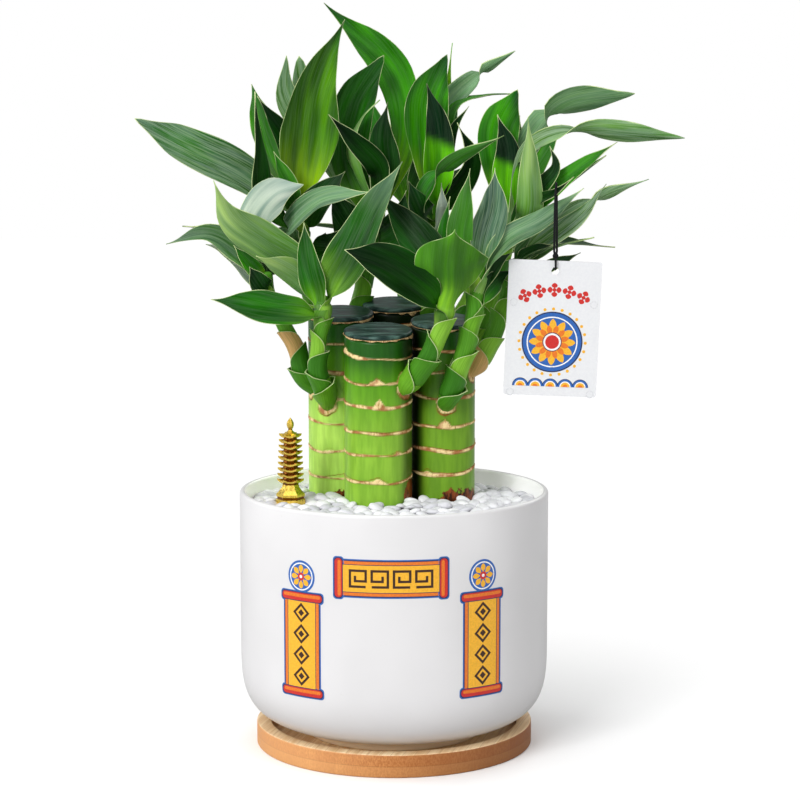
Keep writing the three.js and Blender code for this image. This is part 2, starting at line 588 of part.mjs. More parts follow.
// The card tag with its punched hole, which stands upright and leans a little in its own plane
function tag() {
  const card = new THREE.Shape();
  const [left, right] = [-tagWidth / 2, tagWidth / 2];
  const [bottom, top] = [tagAboveHole - tagHeight, tagAboveHole];
  card.moveTo(left + tagCorner, bottom);
  card.lineTo(right - tagCorner, bottom);
  card.absarc(right - tagCorner, bottom + tagCorner, tagCorner, -Math.PI / 2, 0);
  card.absarc(right - tagCorner, top - tagCorner, tagCorner, 0, Math.PI / 2);
  card.absarc(left + tagCorner, top - tagCorner, tagCorner, Math.PI / 2, Math.PI);
  card.absarc(left + tagCorner, bottom + tagCorner, tagCorner, Math.PI, Math.PI * 1.5);
  card.holes.push(new THREE.Path().absarc(0, 0, hole.radius, 0, 2 * Math.PI, true));
  const options = { depth: tagThickness, bevelEnabled: false, curveSegments: 3 };
  const geometry = new THREE.ExtrudeGeometry(card, options);
  geometry.translate(0, 0, -tagThickness / 2).rotateX(Math.PI / 2).rotateY(tagTilt);
  return solidOf(geometry.translate(hole.x, hole.y, hole.z));
}

// The cord: up in front of the leaf, over its edge and down behind it, both ends at the knot
const cordRoute = [
  [76.3, -6.9, 240.3],
  [76.3, -7.6, 246],
  [76.3, -8.2, 254],
  [76.4, -8.5, 262],
  [76.6, -8.5, 268],
  [76.8, -8.0, 271.2],
  [77, -6.1, 272.9],
  [77.3, -4.0, 271.6],
  [77.5, -3.4, 268],
  [77.6, -3.5, 262],
  [77.7, -4.0, 254],
  [77.7, -4.8, 246],
  [77.7, -5.6, 240.3],
];

function cord() {
  const route = new THREE.CatmullRomCurve3(cordRoute.map((p) => new THREE.Vector3(...p)));
  const section = new THREE.Shape().absarc(0, 0, cordRadius, 0, 2 * Math.PI);
  const options = { steps: 28, curveSegments: 4, extrudePath: route };
  return solidOf(new THREE.ExtrudeGeometry(section, options));
}

// The knot, and the short loop that goes through the hole and carries the card
function knot() {
  const cardTop = hole.z + tagAboveHole;
  const loopBottom = hole.z + hole.radius - cordRadius - 2 * clearance;
  const loopTop = cardTop + cordRadius + 2 * clearance;
  const loopHalf = (loopTop - loopBottom) / 2;
  const loop = new THREE.TorusGeometry(1, cordRadius / 2, 5, 12).rotateY(Math.PI / 2);
  loop.scale(2, 2, loopHalf).translate(hole.x, hole.y, loopBottom + loopHalf);
  const ball = new THREE.SphereGeometry(1.5, 6, 5).scale(1, 1, 0.95).translate(hole.x, hole.y - 0.2, loopTop + 1.1);
  return solidOf(loop).add(solidOf(ball));
}

const everyCane = Object.values(canes);
const room = wasm.Manifold.union(everyCane.map(caneRoom));

add("saucer", saucer(), "bambooWood");
add("pot", pot(), "glaze");
add("soil", soil(), "soil");
add("pebbles", pebbles(), "pebble");
for (const [name, cane] of Object.entries(canes)) {
  add(`cane_${name}`, caneSolid(cane), "cane");
  add(`wax_${name}`, waxSolid(cane), "wax");
}
for (const [name, shoot] of Object.entries(shoots)) {
  add(`shoot_${name}`, shootSolid(shoot, room), "leaf");
}
add("pagoda", pagoda(), "gilt");
add("tag", tag(), "card");
add("tag_cord", cord(), "cord");
add("cord_knot", knot(), "cord");

export default lucky;
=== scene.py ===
# A potted lucky bamboo, dressed over its fixed frame. +Z up, the front faces -Y. Sizes and places of the
# plant, the pot and the card are in millimetres. Materials, lights and the camera take metres.
import math
import random

import bmesh
import bpy
import numpy as np
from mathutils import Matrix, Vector


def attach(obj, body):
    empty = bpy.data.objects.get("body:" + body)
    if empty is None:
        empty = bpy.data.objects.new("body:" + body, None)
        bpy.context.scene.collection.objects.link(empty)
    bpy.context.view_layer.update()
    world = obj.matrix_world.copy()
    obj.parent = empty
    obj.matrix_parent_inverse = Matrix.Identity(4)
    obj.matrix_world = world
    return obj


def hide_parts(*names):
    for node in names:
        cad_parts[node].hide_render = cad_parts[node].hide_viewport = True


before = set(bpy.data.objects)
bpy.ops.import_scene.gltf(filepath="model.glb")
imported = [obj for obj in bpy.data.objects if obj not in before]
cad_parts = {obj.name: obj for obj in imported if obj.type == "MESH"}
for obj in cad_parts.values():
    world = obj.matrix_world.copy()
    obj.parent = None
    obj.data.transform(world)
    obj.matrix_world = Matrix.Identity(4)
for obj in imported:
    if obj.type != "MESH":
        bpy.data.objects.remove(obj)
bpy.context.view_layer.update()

MM = 0.001

# Camera, at the height and tilt from which the pot's ellipses are seen
CAMERA_PLACE = (0, -1.1, 0.313)
CAMERA_DOWN = 7.5
CAMERA_TURN = -0.15
CAMERA_LENS = 103.3


def make_camera():
    data = bpy.data.cameras.new("camera")
    data.lens = CAMERA_LENS
    data.sensor_width = 36
    camera = bpy.data.objects.new("camera", data)
    camera.location = CAMERA_PLACE
    camera.rotation_euler = (math.radians(90 - CAMERA_DOWN), 0, math.radians(CAMERA_TURN))
    bpy.context.collection.objects.link(camera)
    bpy.context.scene.camera = camera


make_camera()


# Small helpers for vectors, blends and circles
def unit(vector):
    vector = np.array(vector, float)
    return vector / max(1e-9, np.linalg.norm(vector))


def across(vector, tangent):
    """The part of a vector that is square to the tangent, one long."""
    return unit(vector - tangent * np.dot(vector, tangent))


def smooth(low, high, value):
    """Goes softly from 0 to 1 while a value goes from low to high."""
    share = min(1, max(0, (value - low) / (high - low)))
    return share * share * (3 - 2 * share)


def mix(first, last, share):
    return np.array(first) * (1 - share) + np.array(last) * share


def turns(count):
    """The angles of so many even steps round a circle."""
    return [2 * math.pi * k / count for k in range(count)]


def round_about(centre, radius, normal, other, sides):
    """Points on a circle in the plane of two directions."""
    return [centre + radius * (math.cos(angle) * normal + math.sin(angle) * other) for angle in turns(sides)]


# Routes: smooth curves through points, with steps of even length along them
class Route:
    steps = 40
    look_ahead = 0.004

    def __init__(self, points):
        points = [np.array(point, float) for point in points]
        fine = []
        for i in range(len(points) - 1):
            before = points[i - 1] if i > 0 else 2 * points[0] - points[1]
            after = points[i + 2] if i + 2 < len(points) else 2 * points[-1] - points[-2]
            fine += self.piece(before, points[i], points[i + 1], after)
        fine.append(points[-1])
        self.fine = np.array(fine)
        lengths = np.linalg.norm(np.diff(self.fine, axis=0), axis=1)
        self.lengths = np.concatenate([[0], np.cumsum(lengths)])
        self.length = self.lengths[-1]

    def piece(self, before, start, end, after):
        gap_before = np.sum((start - before) ** 2) ** 0.25
        gap = np.sum((end - start) ** 2) ** 0.25
        gap_after = np.sum((after - end) ** 2) ** 0.25
        leaving = (start - before) / gap_before - (end - before) / (gap_before + gap) + (end - start) / gap
        arriving = (end - start) / gap - (after - start) / (gap + gap_after) + (after - end) / gap_after
        leaving, arriving = leaving * gap, arriving * gap
        found = []
        for k in range(self.steps):
            t = k / self.steps
            a = 2 * t**3 - 3 * t**2 + 1
            b = t**3 - 2 * t**2 + t
            c = -2 * t**3 + 3 * t**2
            d = t**3 - t**2
            found.append(a * start + b * leaving + c * end + d * arriving)
        return found

    def at(self, share):
        place = share * self.length
        return np.array([np.interp(place, self.lengths, self.fine[:, k]) for k in range(3)])

    def along(self, share):
        ahead = self.at(min(1, share + self.look_ahead))
        behind = self.at(max(0, share - self.look_ahead))
        return unit(ahead - behind)


def frames_along(route, steps):
    """Centre, tangent and two directions square to it, carried along a route without a twist."""
    found = []
    normal = np.array([0, -1, 0.01])
    for i in range(steps + 1):
        tangent = route.along(i / steps)
        normal = across(normal, tangent)
        found.append((route.at(i / steps), tangent, normal, np.cross(tangent, normal)))
    return found


# The hanging cord: up in front of the leaf, over its edge and down behind it. Both ends are at the knot.
CORD_DIAMETER = 1.1 * MM
CORD_STEPS = 60
CORD_ROUTE = [
    (76.3, -6.9, 240.3),
    (76.3, -7.6, 246),
    (76.3, -8.2, 254),
    (76.4, -8.5, 262),
    (76.6, -8.5, 268),
    (76.8, -8.0, 271.2),
    (77, -6.1, 272.9),
    (77.3, -4.0, 271.6),
    (77.5, -3.4, 268),
    (77.6, -3.5, 262),
    (77.7, -4.0, 254),
    (77.7, -4.8, 246),
    (77.7, -5.6, 240.3),
]


def make_cord():
    route = Route(CORD_ROUTE)
    data = bpy.data.curves.new("tag_cord_braid", "CURVE")
    data.dimensions = "3D"
    data.bevel_depth = CORD_DIAMETER / 2
    data.bevel_resolution = 4
    data.use_fill_caps = True
    line = data.splines.new("POLY")
    line.points.add(CORD_STEPS)
    for i, point in enumerate(line.points):
        point.co = (*(route.at(i / CORD_STEPS) * MM), 1)
    made = bpy.data.objects.new("tag_cord_braid", data)
    bpy.context.collection.objects.link(made)
    return made, route.length * MM


cord, cord_length = make_cord()


# Materials: a small kit for shader nodes
class Look:
    sockets = {"colour": "Base Color", "rough": "Roughness", "metal": "Metallic", "coat": "Coat Weight",
               "coat_rough": "Coat Roughness", "specular": "Specular IOR Level", "glow": "Emission Color",
               "glow_strength": "Emission Strength"}

    def __init__(self, name):
        self.material = bpy.data.materials.new(name)
        self.material.use_nodes = True
        self.tree = self.material.node_tree
        self.tree.nodes.clear()
        self.shader = self.new("ShaderNodeBsdfPrincipled")
        self.link(self.shader.outputs[0], self.new("ShaderNodeOutputMaterial").inputs["Surface"])

    def new(self, kind, **settings):
        node = self.tree.nodes.new(kind)
        for key, value in settings.items():
            setattr(node, key, value)
        return node

    def link(self, source, target):
        """Joins a socket to another one, or sets a plain number or colour on it."""
        if hasattr(source, "node"):
            self.tree.links.new(source, target)
        elif isinstance(source, (tuple, list, np.ndarray)) and len(source) == 3 and target.type == "RGBA":
            target.default_value = (*source, 1)
        else:
            target.default_value = source

    def value(self, name):
        return self.new("ShaderNodeAttribute", attribute_name=name).outputs["Fac"]

    def colour(self, name):
        return self.new("ShaderNodeAttribute", attribute_name=name).outputs["Color"]

    def place(self):
        return self.new("ShaderNodeTexCoord").outputs["Object"]

    def stretch(self, vector, scale, turn=(0, 0, 0)):
        node = self.new("ShaderNodeMapping")
        self.link(vector, node.inputs["Vector"])
        node.inputs["Scale"].default_value = scale
        node.inputs["Rotation"].default_value = turn
        return node.outputs[0]

    def parts(self, vector):
        node = self.new("ShaderNodeSeparateXYZ")
        self.link(vector, node.inputs[0])
        return node.outputs

    def join(self, x, y, z):
        node = self.new("ShaderNodeCombineXYZ")
        for source, target in zip((x, y, z), node.inputs):
            self.link(source, target)
        return node.outputs[0]

    def math(self, operation, first, second=0.0, clamp=False):
        node = self.new("ShaderNodeMath", operation=operation, use_clamp=clamp)
        self.link(first, node.inputs[0])
        self.link(second, node.inputs[1])
        return node.outputs[0]

    def plus(self, first, second):
        return self.math("ADD", first, second)

    def times(self, first, second, clamp=False):
        return self.math("MULTIPLY", first, second, clamp)

    def from_axis(self, x, y):
        return self.math("SQRT", self.plus(self.times(x, x), self.times(y, y)))

    def span(self, value, low, high, start=0.0, end=1.0):
        """Goes softly from start to end while a value goes from low to high."""
        node = self.new("ShaderNodeMapRange", interpolation_type="SMOOTHSTEP")
        for source, target in zip((value, low, high, start, end), node.inputs):
            self.link(source, target)
        return node.outputs[0]

    def mix(self, share, first, last, blend="MIX"):
        node = self.new("ShaderNodeMix", data_type="RGBA", blend_type=blend)
        self.link(share, node.inputs["Factor"])
        self.link(first, node.inputs[6])
        self.link(last, node.inputs[7])
        return node.outputs[2]

    def shade(self, colour, levels):
        """A colour with its red, green and blue each taken times a level."""
        return self.mix(1.0, colour, levels, "MULTIPLY")

    def noise(self, vector, scale, detail=2.0, rough=0.5):
        node = self.new("ShaderNodeTexNoise")
        self.link(vector, node.inputs["Vector"])
        for key, level in (("Scale", scale), ("Detail", detail), ("Roughness", rough)):
            node.inputs[key].default_value = level
        return node.outputs["Fac"]

    def bump(self, height, strength, distance):
        node = self.new("ShaderNodeBump")
        node.inputs["Strength"].default_value = strength
        node.inputs["Distance"].default_value = distance
        self.link(height, node.inputs["Height"])
        self.link(node.outputs[0], self.shader.inputs["Normal"])

    def set(self, **values):
        for key, value in values.items():
            self.link(value, self.shader.inputs[self.sockets[key]])
        return self.material


def rgb(red, green, blue):
    """A colour given as it looks on a screen, from 0 to 255, in the linear values that a shader takes."""
    levels = [level / 255 for level in (red, green, blue)]
    return tuple(level / 12.92 if level <= 0.04045 else ((level + 0.055) / 1.055) ** 2.4 for level in levels)


def grained(name, dark, pale, scale, bump, detail=2.0, rough_grain=0.5, stretch=None, low=0.3, high=0.7,
            **given):
    """A material between two colours along one fine noise, which also gives the bump: its strength and its
    distance."""
    look = Look(name)
    place = look.stretch(look.place(), stretch) if stretch else look.place()
    grain = look.noise(place, scale, detail, rough_grain)
    look.bump(grain, *bump)
    return look.set(colour=look.mix(look.span(grain, low, high), dark, pale), **given)


# Meshes: points, faces and a value or colour at each point
class Piece:
    def __init__(self, name, values=(), colours=()):
        self.name = name
        self.points = []
        self.faces = []
        self.kinds = []
        self.values = {key: [] for key in values}
        self.colours = {key: [] for key in colours}

    def add(self, points, faces, kind=0, **given):
        """Adds points and faces. A value or colour is one for all the points, or a list with one for each."""
        base = len(self.points)
        self.points += [tuple(point) for point in points]
        self.faces += [tuple(base + k for k in face) for face in faces]
        self.kinds += [kind] * len(faces)
        for key, kept in self.values.items():
            value = given.get(key, 0.0)
            kept += list(value) if hasattr(value, "__len__") else [value] * len(points)
        for key, kept in self.colours.items():
            value = given.get(key, (0, 0, 0))
            each = hasattr(value[0], "__len__")
            kept += [tuple(colour) for colour in value] if each else [tuple(value)] * len(points)

    def tube(self, rings, kind=0, **given):
        """A closed skin over rings of points, each ring with as many points as the others."""
        sides = len(rings[0])
        faces = []
        for i in range(len(rings) - 1):
            for k in range(sides):
                a, b = i * sides + k, i * sides + (k + 1) % sides
                faces.append((a, b, b + sides, a + sides))
        last = (len(rings) - 1) * sides
        faces.append(tuple(reversed(range(sides))))
        faces.append(tuple(range(last, last + sides)))
        self.add([point for ring in rings for point in ring], faces, kind, **given)

    def shell(self, top, bottom, kind=0, **given):
        """A thin closed sheet between two grids of points. Its values run over the top, then the bottom."""
        rows, columns = len(top), len(top[0])
        under = rows * columns
        faces = []
        for i in range(rows - 1):
            for k in range(columns - 1):
                a = i * columns + k
                faces.append((a, a + 1, a + 1 + columns, a + columns))
                faces.append((under + a, under + a + columns, under + a + 1 + columns, under + a + 1))
            a, b = i * columns, i * columns + columns - 1
            faces.append((a, a + columns, under + a + columns, under + a))
            faces.append((b, under + b, under + b + columns, b + columns))
        for k in range(columns - 1):
            a, b = k, (rows - 1) * columns + k
            faces.append((a, under + a, under + a + 1, a + 1))
            faces.append((b, b + 1, under + b + 1, under + b))
        self.add([point for grid in (top, bottom) for row in grid for point in row], faces, kind, **given)

    def make(self, materials, even=True, sharp=None):
        """The object. Even shades it smooth, and an edge is sharp where it bends by more than that angle."""
        mesh = bpy.data.meshes.new(self.name)
        mesh.from_pydata([tuple(MM * v for v in point) for point in self.points], [], self.faces)
        mesh.polygons.foreach_set("material_index", self.kinds)
        if even:
            mesh.shade_smooth()
        if sharp is not None:
            mesh.set_sharp_from_angle(angle=math.radians(sharp))
        for key, kept in self.values.items():
            mesh.attributes.new(key, "FLOAT", "POINT").data.foreach_set("value", kept)
        for key, kept in self.colours.items():
            flat = [level for colour in kept for level in (*colour, 1)]
            mesh.attributes.new(key, "FLOAT_COLOR", "POINT").data.foreach_set("color", flat)
        for material in materials:
            mesh.materials.append(material)
        mesh.update()
        made = bpy.data.objects.new(self.name, mesh)
        bpy.context.collection.objects.link(made)
        return made


def dress(piece, slot, *nodes):
    """Puts a piece on the frame and in place of the CAD nodes named. The slot is not used."""
    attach(piece, "root")
    if nodes:
        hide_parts(*nodes)
    return piece


def restyle(node, material):
    """Gives a CAD node that stays in view a material of its own."""
    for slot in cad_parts[node].material_slots:
        slot.material = material


# Each cane: its place, its radius, the height of its sealed top, the heights of its ring scars, the papery
# patches on them (the ring's number, the angle from the front in degrees, half the width and the height), the
# brown roots at its foot (angle, half the spread, height) and the painted shade on its side next to the other
# canes, nearly black (angle, where the shade starts to fade and ends, how dark, from which height)
CANES = {
    "front": dict(
        x=-7.7, y=4, radius=16.7, top=202.3, rings=(130.7, 143.9, 155, 168, 179.1, 190.6),
        patches=((4, -2, 4.6, 2.6), (3, 3, 3.2, 4.0), (1, 34, 3.4, 1.8), (0, 1, 5.0, 2.2), (2, -70, 4, 2),
                 (4, 44, 3.4, 5.5), (5, -74, 5, 3), (1, 150, 4, 3), (3, 215, 4, 3)),
        roots=((78, 50, 132), (-64, 24, 119.5), (170, 60, 122)),
        painted_shade=((92, 30, 62, 0.75, 100),),
    ),
    "left": dict(
        x=-26.5, y=33, radius=16.3, top=208.3, rings=(129, 142, 156.4, 169.3, 182, 195),
        patches=((1, -20, 3, 1.6), (4, 30, 4, 3), (0, 120, 4, 3), (3, 200, 4, 3), (2, 250, 4, 3)),
        roots=((0, 36, 122), (200, 70, 121)),
        painted_shade=((75, 40, 62, 0.9, 158),),
    ),
    "back": dict(
        x=0, y=52.5, radius=15.9, top=211, rings=(128, 141, 154, 166, 178, 190, 202),
        patches=((5, -30, 4, 3), (1, 100, 4, 3), (3, 180, 4, 3), (4, 230, 4, 3)),
        roots=((180, 80, 121),),
        painted_shade=((0, 60, 100, 0.9, 100),),
    ),
    "right": dict(
        x=24, y=16, radius=15.9, top=206, rings=(133.4, 144.7, 156.5, 170.7, 182.8, 193.5),
        patches=((2, 2, 3.6, 4.4), (0, -30, 3, 2), (4, 52, 3.4, 3), (1, 90, 4, 3), (3, 170, 4, 3)),
        roots=((38, 90, 125.5), (200, 60, 121)),
        painted_shade=((-84, 28, 60, 0.97, 100),),
    ),
}

# Leaves. Each look: the colour at the base, along the middle and at the tip, where the tip's colour starts
# and ends, and how strong the pale lengthwise stripes and the painted grey sheen are
CREAM = rgb(214, 230, 168)
LOOKS = {
    "dark": (rgb(52, 124, 6), rgb(10, 66, 2), rgb(2, 38, 10), 0.6, 1.0, 0.06),
    "deep": (rgb(30, 92, 2), rgb(6, 52, 0), rgb(4, 32, 8), 0.5, 1.0, 0.02),
    "mid": (rgb(92, 160, 18), rgb(26, 102, 0), rgb(14, 78, 4), 0.66, 1.0, 0.1),
    "fresh": (rgb(132, 190, 26), rgb(54, 136, 4), rgb(22, 98, 8), 0.66, 1.0, 0.1),
    # Bright yellow-green: partly the leaf's own colour, partly painted backlight.
    "bright_backlit": (rgb(126, 178, 0), rgb(48, 138, 0), rgb(4, 66, 14), 0.78, 1.0, 0.08),
    # A painted shadow over the tip, sharp-edged; below it a bright yellow-green that is partly painted
    # backlight.
    "shadow_tipped": (rgb(86, 176, 0), rgb(88, 184, 0), rgb(1, 38, 14), 0.5, 0.6, 0.05),
    "pale": (rgb(30, 90, 6), rgb(70, 132, 24), rgb(150, 188, 112), 0.3, 0.9, 0.3),
    "grey": (rgb(60, 122, 20), rgb(66, 118, 52), rgb(62, 106, 66), 0.6, 1.0, 0.35),
    "lime": (rgb(138, 196, 12), rgb(104, 176, 6), rgb(84, 158, 10), 0.8, 1.0, 0.05),
    "striped": (rgb(92, 150, 34), rgb(84, 132, 58), rgb(62, 112, 52), 0.7, 1.0, 0.8),
    # The next three grey-green looks are partly painted sheen, light reflected off the leaf's gloss.
    "sheened": (rgb(64, 128, 26), rgb(82, 130, 84), rgb(92, 136, 98), 0.6, 1.0, 0.45),
    "slate": (rgb(48, 108, 30), rgb(52, 92, 66), rgb(50, 88, 74), 0.6, 1.0, 0.45),
    "silver": (rgb(126, 166, 112), rgb(162, 186, 172), rgb(172, 192, 184), 0.5, 1.0, 0.3),
    "long": (rgb(80, 138, 20), rgb(46, 106, 36), rgb(30, 82, 30), 0.7, 1.0, 0.6),
    "half": (rgb(118, 180, 48), rgb(20, 80, 6), rgb(96, 136, 96), 0.6, 0.9, 0.12),
    "cup": (rgb(124, 194, 30), rgb(58, 128, 6), rgb(66, 134, 14), 0.6, 1.0, 0.06),
    "olive": (rgb(130, 176, 0), rgb(58, 116, 0), rgb(4, 64, 10), 0.72, 1.0, 0.08),
}


def leaf_material():
    """Fine lengthwise veins, broad soft stripes, a painted grey sheen in patches and a frayed cream rim."""
    look = Look("leaf")
    along, reach, streak = look.value("along"), look.value("reach"), look.value("streak")
    grain = look.join(reach, look.times(along, 1.6), look.value("seed"))
    fine = look.noise(look.stretch(grain, (2.4, 1, 1)), 1.0, 2.0)
    broad = look.noise(look.stretch(grain, (0.2, 0.65, 1)), 1.0, 1.0)
    mottle = look.noise(look.stretch(grain, (0.7, 1.3, 1)), 1.0, 3.0, 0.6)
    frayed = look.noise(look.stretch(grain, (0.12, 1.8, 1)), 1.0, 2.0)
    tint = look.colour("tint")
    lit = look.mix(look.span(broad, 0.32, 0.7), look.shade(tint, (0.46, 0.52, 0.5)),
                   look.shade(tint, (1.34, 1.16, 1.1)))
    lit = look.mix(look.span(mottle, 0.5, 0.7, 0.0, 0.4), lit, look.shade(lit, (0.62, 0.7, 0.7)))
    lines = look.span(fine, 0.42, 0.62)
    veined = look.mix(look.times(lines, 0.2), lit, look.shade(lit, (1.5, 1.3, 1.4)))
    # Painted sheen: pale grey patches that stand for light reflected off the leaf's gloss.
    painted_sheen = look.times(look.span(mottle, 0.35, 0.62), look.times(streak, 0.5))
    sheened = look.mix(painted_sheen, veined, rgb(146, 172, 156))
    striped = look.mix(look.times(look.times(lines, streak), 0.5), sheened, rgb(166, 192, 150))
    back = look.mix(look.times(look.value("under"), 0.22), striped, rgb(88, 142, 56))
    rim = look.times(look.span(look.value("edge"), 0.08, 0.4, 1.0, 0.0),
                     look.span(frayed, 0.36, 0.62, 0.12, 0.85))
    look.bump(look.plus(fine, look.times(broad, 1.4)), 0.5, 0.0004)
    return look.set(colour=look.mix(rim, back, CREAM), rough=look.span(broad, 0.3, 0.7, 0.3, 0.44),
                    specular=0.05)


def stem_material():
    look = Look("stem")
    grain = look.join(look.value("reach"), look.times(look.value("along"), 1.2), look.value("seed"))
    fine = look.noise(look.stretch(grain, (3.2, 1, 1)), 1.0, 2.0)
    tint = look.colour("tint")
    streaked = look.mix(look.span(fine, 0.35, 0.65), look.shade(tint, (0.8, 0.84, 0.7)),
                        look.shade(tint, (1.16, 1.1, 1.2)))
    rim = look.span(look.value("edge"), 0.25, 0.6, 0.8, 0.0)
    look.bump(fine, 0.3, 0.0003)
    return look.set(colour=look.mix(rim, streaked, CREAM), rough=0.42, specular=0.18)


LEAF = leaf_material()
STEM = stem_material()
LEAF_VALUES = ("streak", "along", "reach", "edge", "under", "seed")
GRAIN_LENGTH = 40

# A blade's points across: from one rim, at -1, over the midrib to the other rim
HANDS = (-1, -0.96, -0.86, -0.7, -0.5, -0.28, -0.08, 0.08, 0.28, 0.5, 0.7, 0.86, 0.96, 1)
BLADE_STEPS = 34
BLADE_MIDDLE = 0.36
BLADE_RIM = 0.11
BLADE_LEAST = 0.16
CLASP_STEPS = 12
CLASP_LENGTH = 13
CLASP_TINT = rgb(150, 194, 84)
BLEND_ROWS = 8


def blade_width(share, peak, neck, taper, straight):
    """The width along a blade, as a share of the widest: from the neck to the peak, then down to the tip."""
    if share < peak:
        return neck + (1 - neck) * math.sin(math.pi / 2 * share / peak) ** 1.1
    passed = (share - peak) / (1 - peak)
    narrow = mix(math.cos(math.pi / 2 * passed) ** taper, 1 - passed, straight)
    return narrow * (1 - 0.42 * smooth(0.76, 0.97, share))


def leaf_tint(look, share):
    base, middle, tip, tip_from, tip_to, _ = LOOKS[look]
    return mix(mix(base, middle, smooth(0.0, 0.42, share)), tip, smooth(tip_from, tip_to, share))


def stem_radius(share, thick, thin):
    return (thick + (thin - thick) * min(1, 1.5 * share)) * (0.66 + 0.34 * smooth(0, 0.16, share))


def clasp_rows(stem, radii, start, toward, blade_side, layer):
    """Rows of a leaf's foot, which wraps its stem below the place where the blade leaves it. The blade's side
    is the way in which its points across run. Each point is like those of a blade's row."""
    lowest = max(0.0, start - CLASP_LENGTH / stem.length)
    leaving = stem.along(start)
    foot_side = np.cross(leaving, -across(toward, leaving))
    hand_way = 1 if np.dot(blade_side, foot_side) > 0 else -1
    rows = []
    for i in range(CLASP_STEPS + 1):
        rise = i / CLASP_STEPS
        share = lowest + (start - lowest) * i / CLASP_STEPS
        tangent = stem.along(share)
        out = across(toward, tangent)
        other = np.cross(tangent, -out) * hand_way
        stand = -0.6 + (0.85 + 0.14 * layer) * smooth(0.3, 0.9, rise)
        radius = stem_radius(share, *radii) + stand
        spread = math.radians(158 - 88 * rise**1.5) * math.sqrt(min(1, 0.12 + rise * 2.4))
        row = []
        for hand in HANDS:
            angle = hand * spread
            way = math.cos(angle) * out + math.sin(angle) * other
            place = stem.at(share) + way * (radius + 0.3 * rise)
            row.append((place, -way, angle * radius, (1 - abs(hand)) * spread * radius))
        rows.append(row)
    return rows


class Blade:
    """A curved leaf blade: how it bends, folds and waves, and its colours along and across."""

    def __init__(self, rand, midrib, width, base_face, tip_face, look, peak=0.4, neck=0.36, taper=0.0,
                 fold=10, wave=0.9, straight=0.1, flip=None, light=None):
        self.midrib = midrib
        self.width = width
        self.faces = (unit(base_face), unit(tip_face))
        self.look = look
        self.wave = wave
        self.flip = flip
        self.ripple = rand.uniform(10, 14)
        self.phase = rand.uniform(0, 6)
        self.swerves = [(rand.uniform(4, 9), rand.uniform(0, 6)) for _ in (0, 1)]
        self.fold = fold * rand.uniform(0.8, 2.0)
        self.outline = (peak, neck, taper or rand.uniform(0.8, 1.3), straight)
        # Painted light: one half of the blade is lighter, as the light falls on one side of its fold.
        painted_half_light = rand.choice((-1, 1)) * rand.uniform(0.06, 0.26)
        self.painted_half_light = light or painted_half_light
        self.slant = rand.uniform(-0.06, 0.06)

    def row(self, share):
        """Points across the blade. Each one is its place, the way that the upper side faces, how far it is
        from the midrib and how far from the rim."""
        tangent = self.midrib.along(share)
        turned_over = share if self.flip is None else smooth(self.flip - 0.15, self.flip + 0.15, share)
        normal = across(mix(*self.faces, turned_over), tangent)
        sideways = np.cross(tangent, normal)
        half = max(BLADE_LEAST, self.width / 2 * blade_width(share, *self.outline))
        bend = math.radians(self.fold + 34 * (1 - share) ** 4)
        belly = math.sin(math.pi * share)
        swing = self.wave * belly
        found = []
        for hand in HANDS:
            far = abs(hand)
            pace, turn = self.swerves[0 if hand < 0 else 1]
            reach = half * (1 + 0.06 * math.sin(pace * share + turn) * belly)
            lift = reach * math.sin(bend) * (0.3 * far + 0.7 * far * far)
            lift += far * far * swing * math.sin(9 * share + hand + self.width)
            lift += 0.075 * half * far**3 * belly * math.sin(self.ripple * share + self.phase + 2 * hand)
            lift += 0.02 * half * belly * math.cos(9 * hand)
            place = self.midrib.at(share) + sideways * hand * reach * math.cos(bend) + normal * lift
            found.append((place, normal, hand * reach, (1 - far) * reach))
        return found

    def tints(self, share):
        """The colours across the blade. One half is painted lighter than the other, as light on its fold."""
        return [leaf_tint(self.look, share + self.slant * hand) * (1 + self.painted_half_light * math.tanh(3 * hand))
                for hand in HANDS]

    def side(self):
        """The way in which the points across run, where the blade leaves its stem."""
        tangent = self.midrib.along(0)
        return np.cross(tangent, across(self.faces[0], tangent))


def draw_to_foot(rows, foot_row, midrib):
    """Draws a blade's first rows towards the last row of its foot, so that one runs on into the other."""
    for i in range(BLEND_ROWS):
        share = smooth(-0.15, 1.0, (i + 1) / (BLEND_ROWS + 1))
        carried = midrib.at(i / BLADE_STEPS) - midrib.at(0)
        drawn = []
        for (foot_place, foot_normal, *foot_far), (place, normal, *far) in zip(foot_row, rows[i]):
            drawn.append((mix(foot_place + carried, place, share), unit(mix(foot_normal, normal, share)),
                          *mix(foot_far, far, share)))
        rows[i] = drawn


def leaf_skin(piece, rows, tints, along, streak, seed):
    """Both sides of a leaf over its rows, thick along its middle and thin at its rim."""
    top, bottom, values = [], [], {"along": [], "reach": [], "edge": [], "tint": []}
    for i, row in enumerate(rows):
        upper, lower = [], []
        from_ends = min(0.5 + i * 0.4, 0.2 + (len(rows) - 1 - i) * 0.5)
        for hand, tint, (place, normal, reach, edge) in zip(HANDS, tints[i], row):
            thick = BLADE_RIM + (BLADE_MIDDLE - BLADE_RIM) * (1 - abs(hand)) ** 0.7
            upper.append(place + normal * thick)
            lower.append(place - normal * thick)
            values["along"].append(along[i] / GRAIN_LENGTH)
            values["reach"].append(float(reach))
            values["edge"].append(float(min(edge, from_ends)))
            values["tint"].append(tint)
        top.append(upper)
        bottom.append(lower)
    doubled = {key: kept * 2 for key, kept in values.items()}
    count = len(rows) * len(HANDS)
    piece.shell(top, bottom, 0, under=[0.0] * count + [1.0] * count, seed=seed, streak=streak, **doubled)


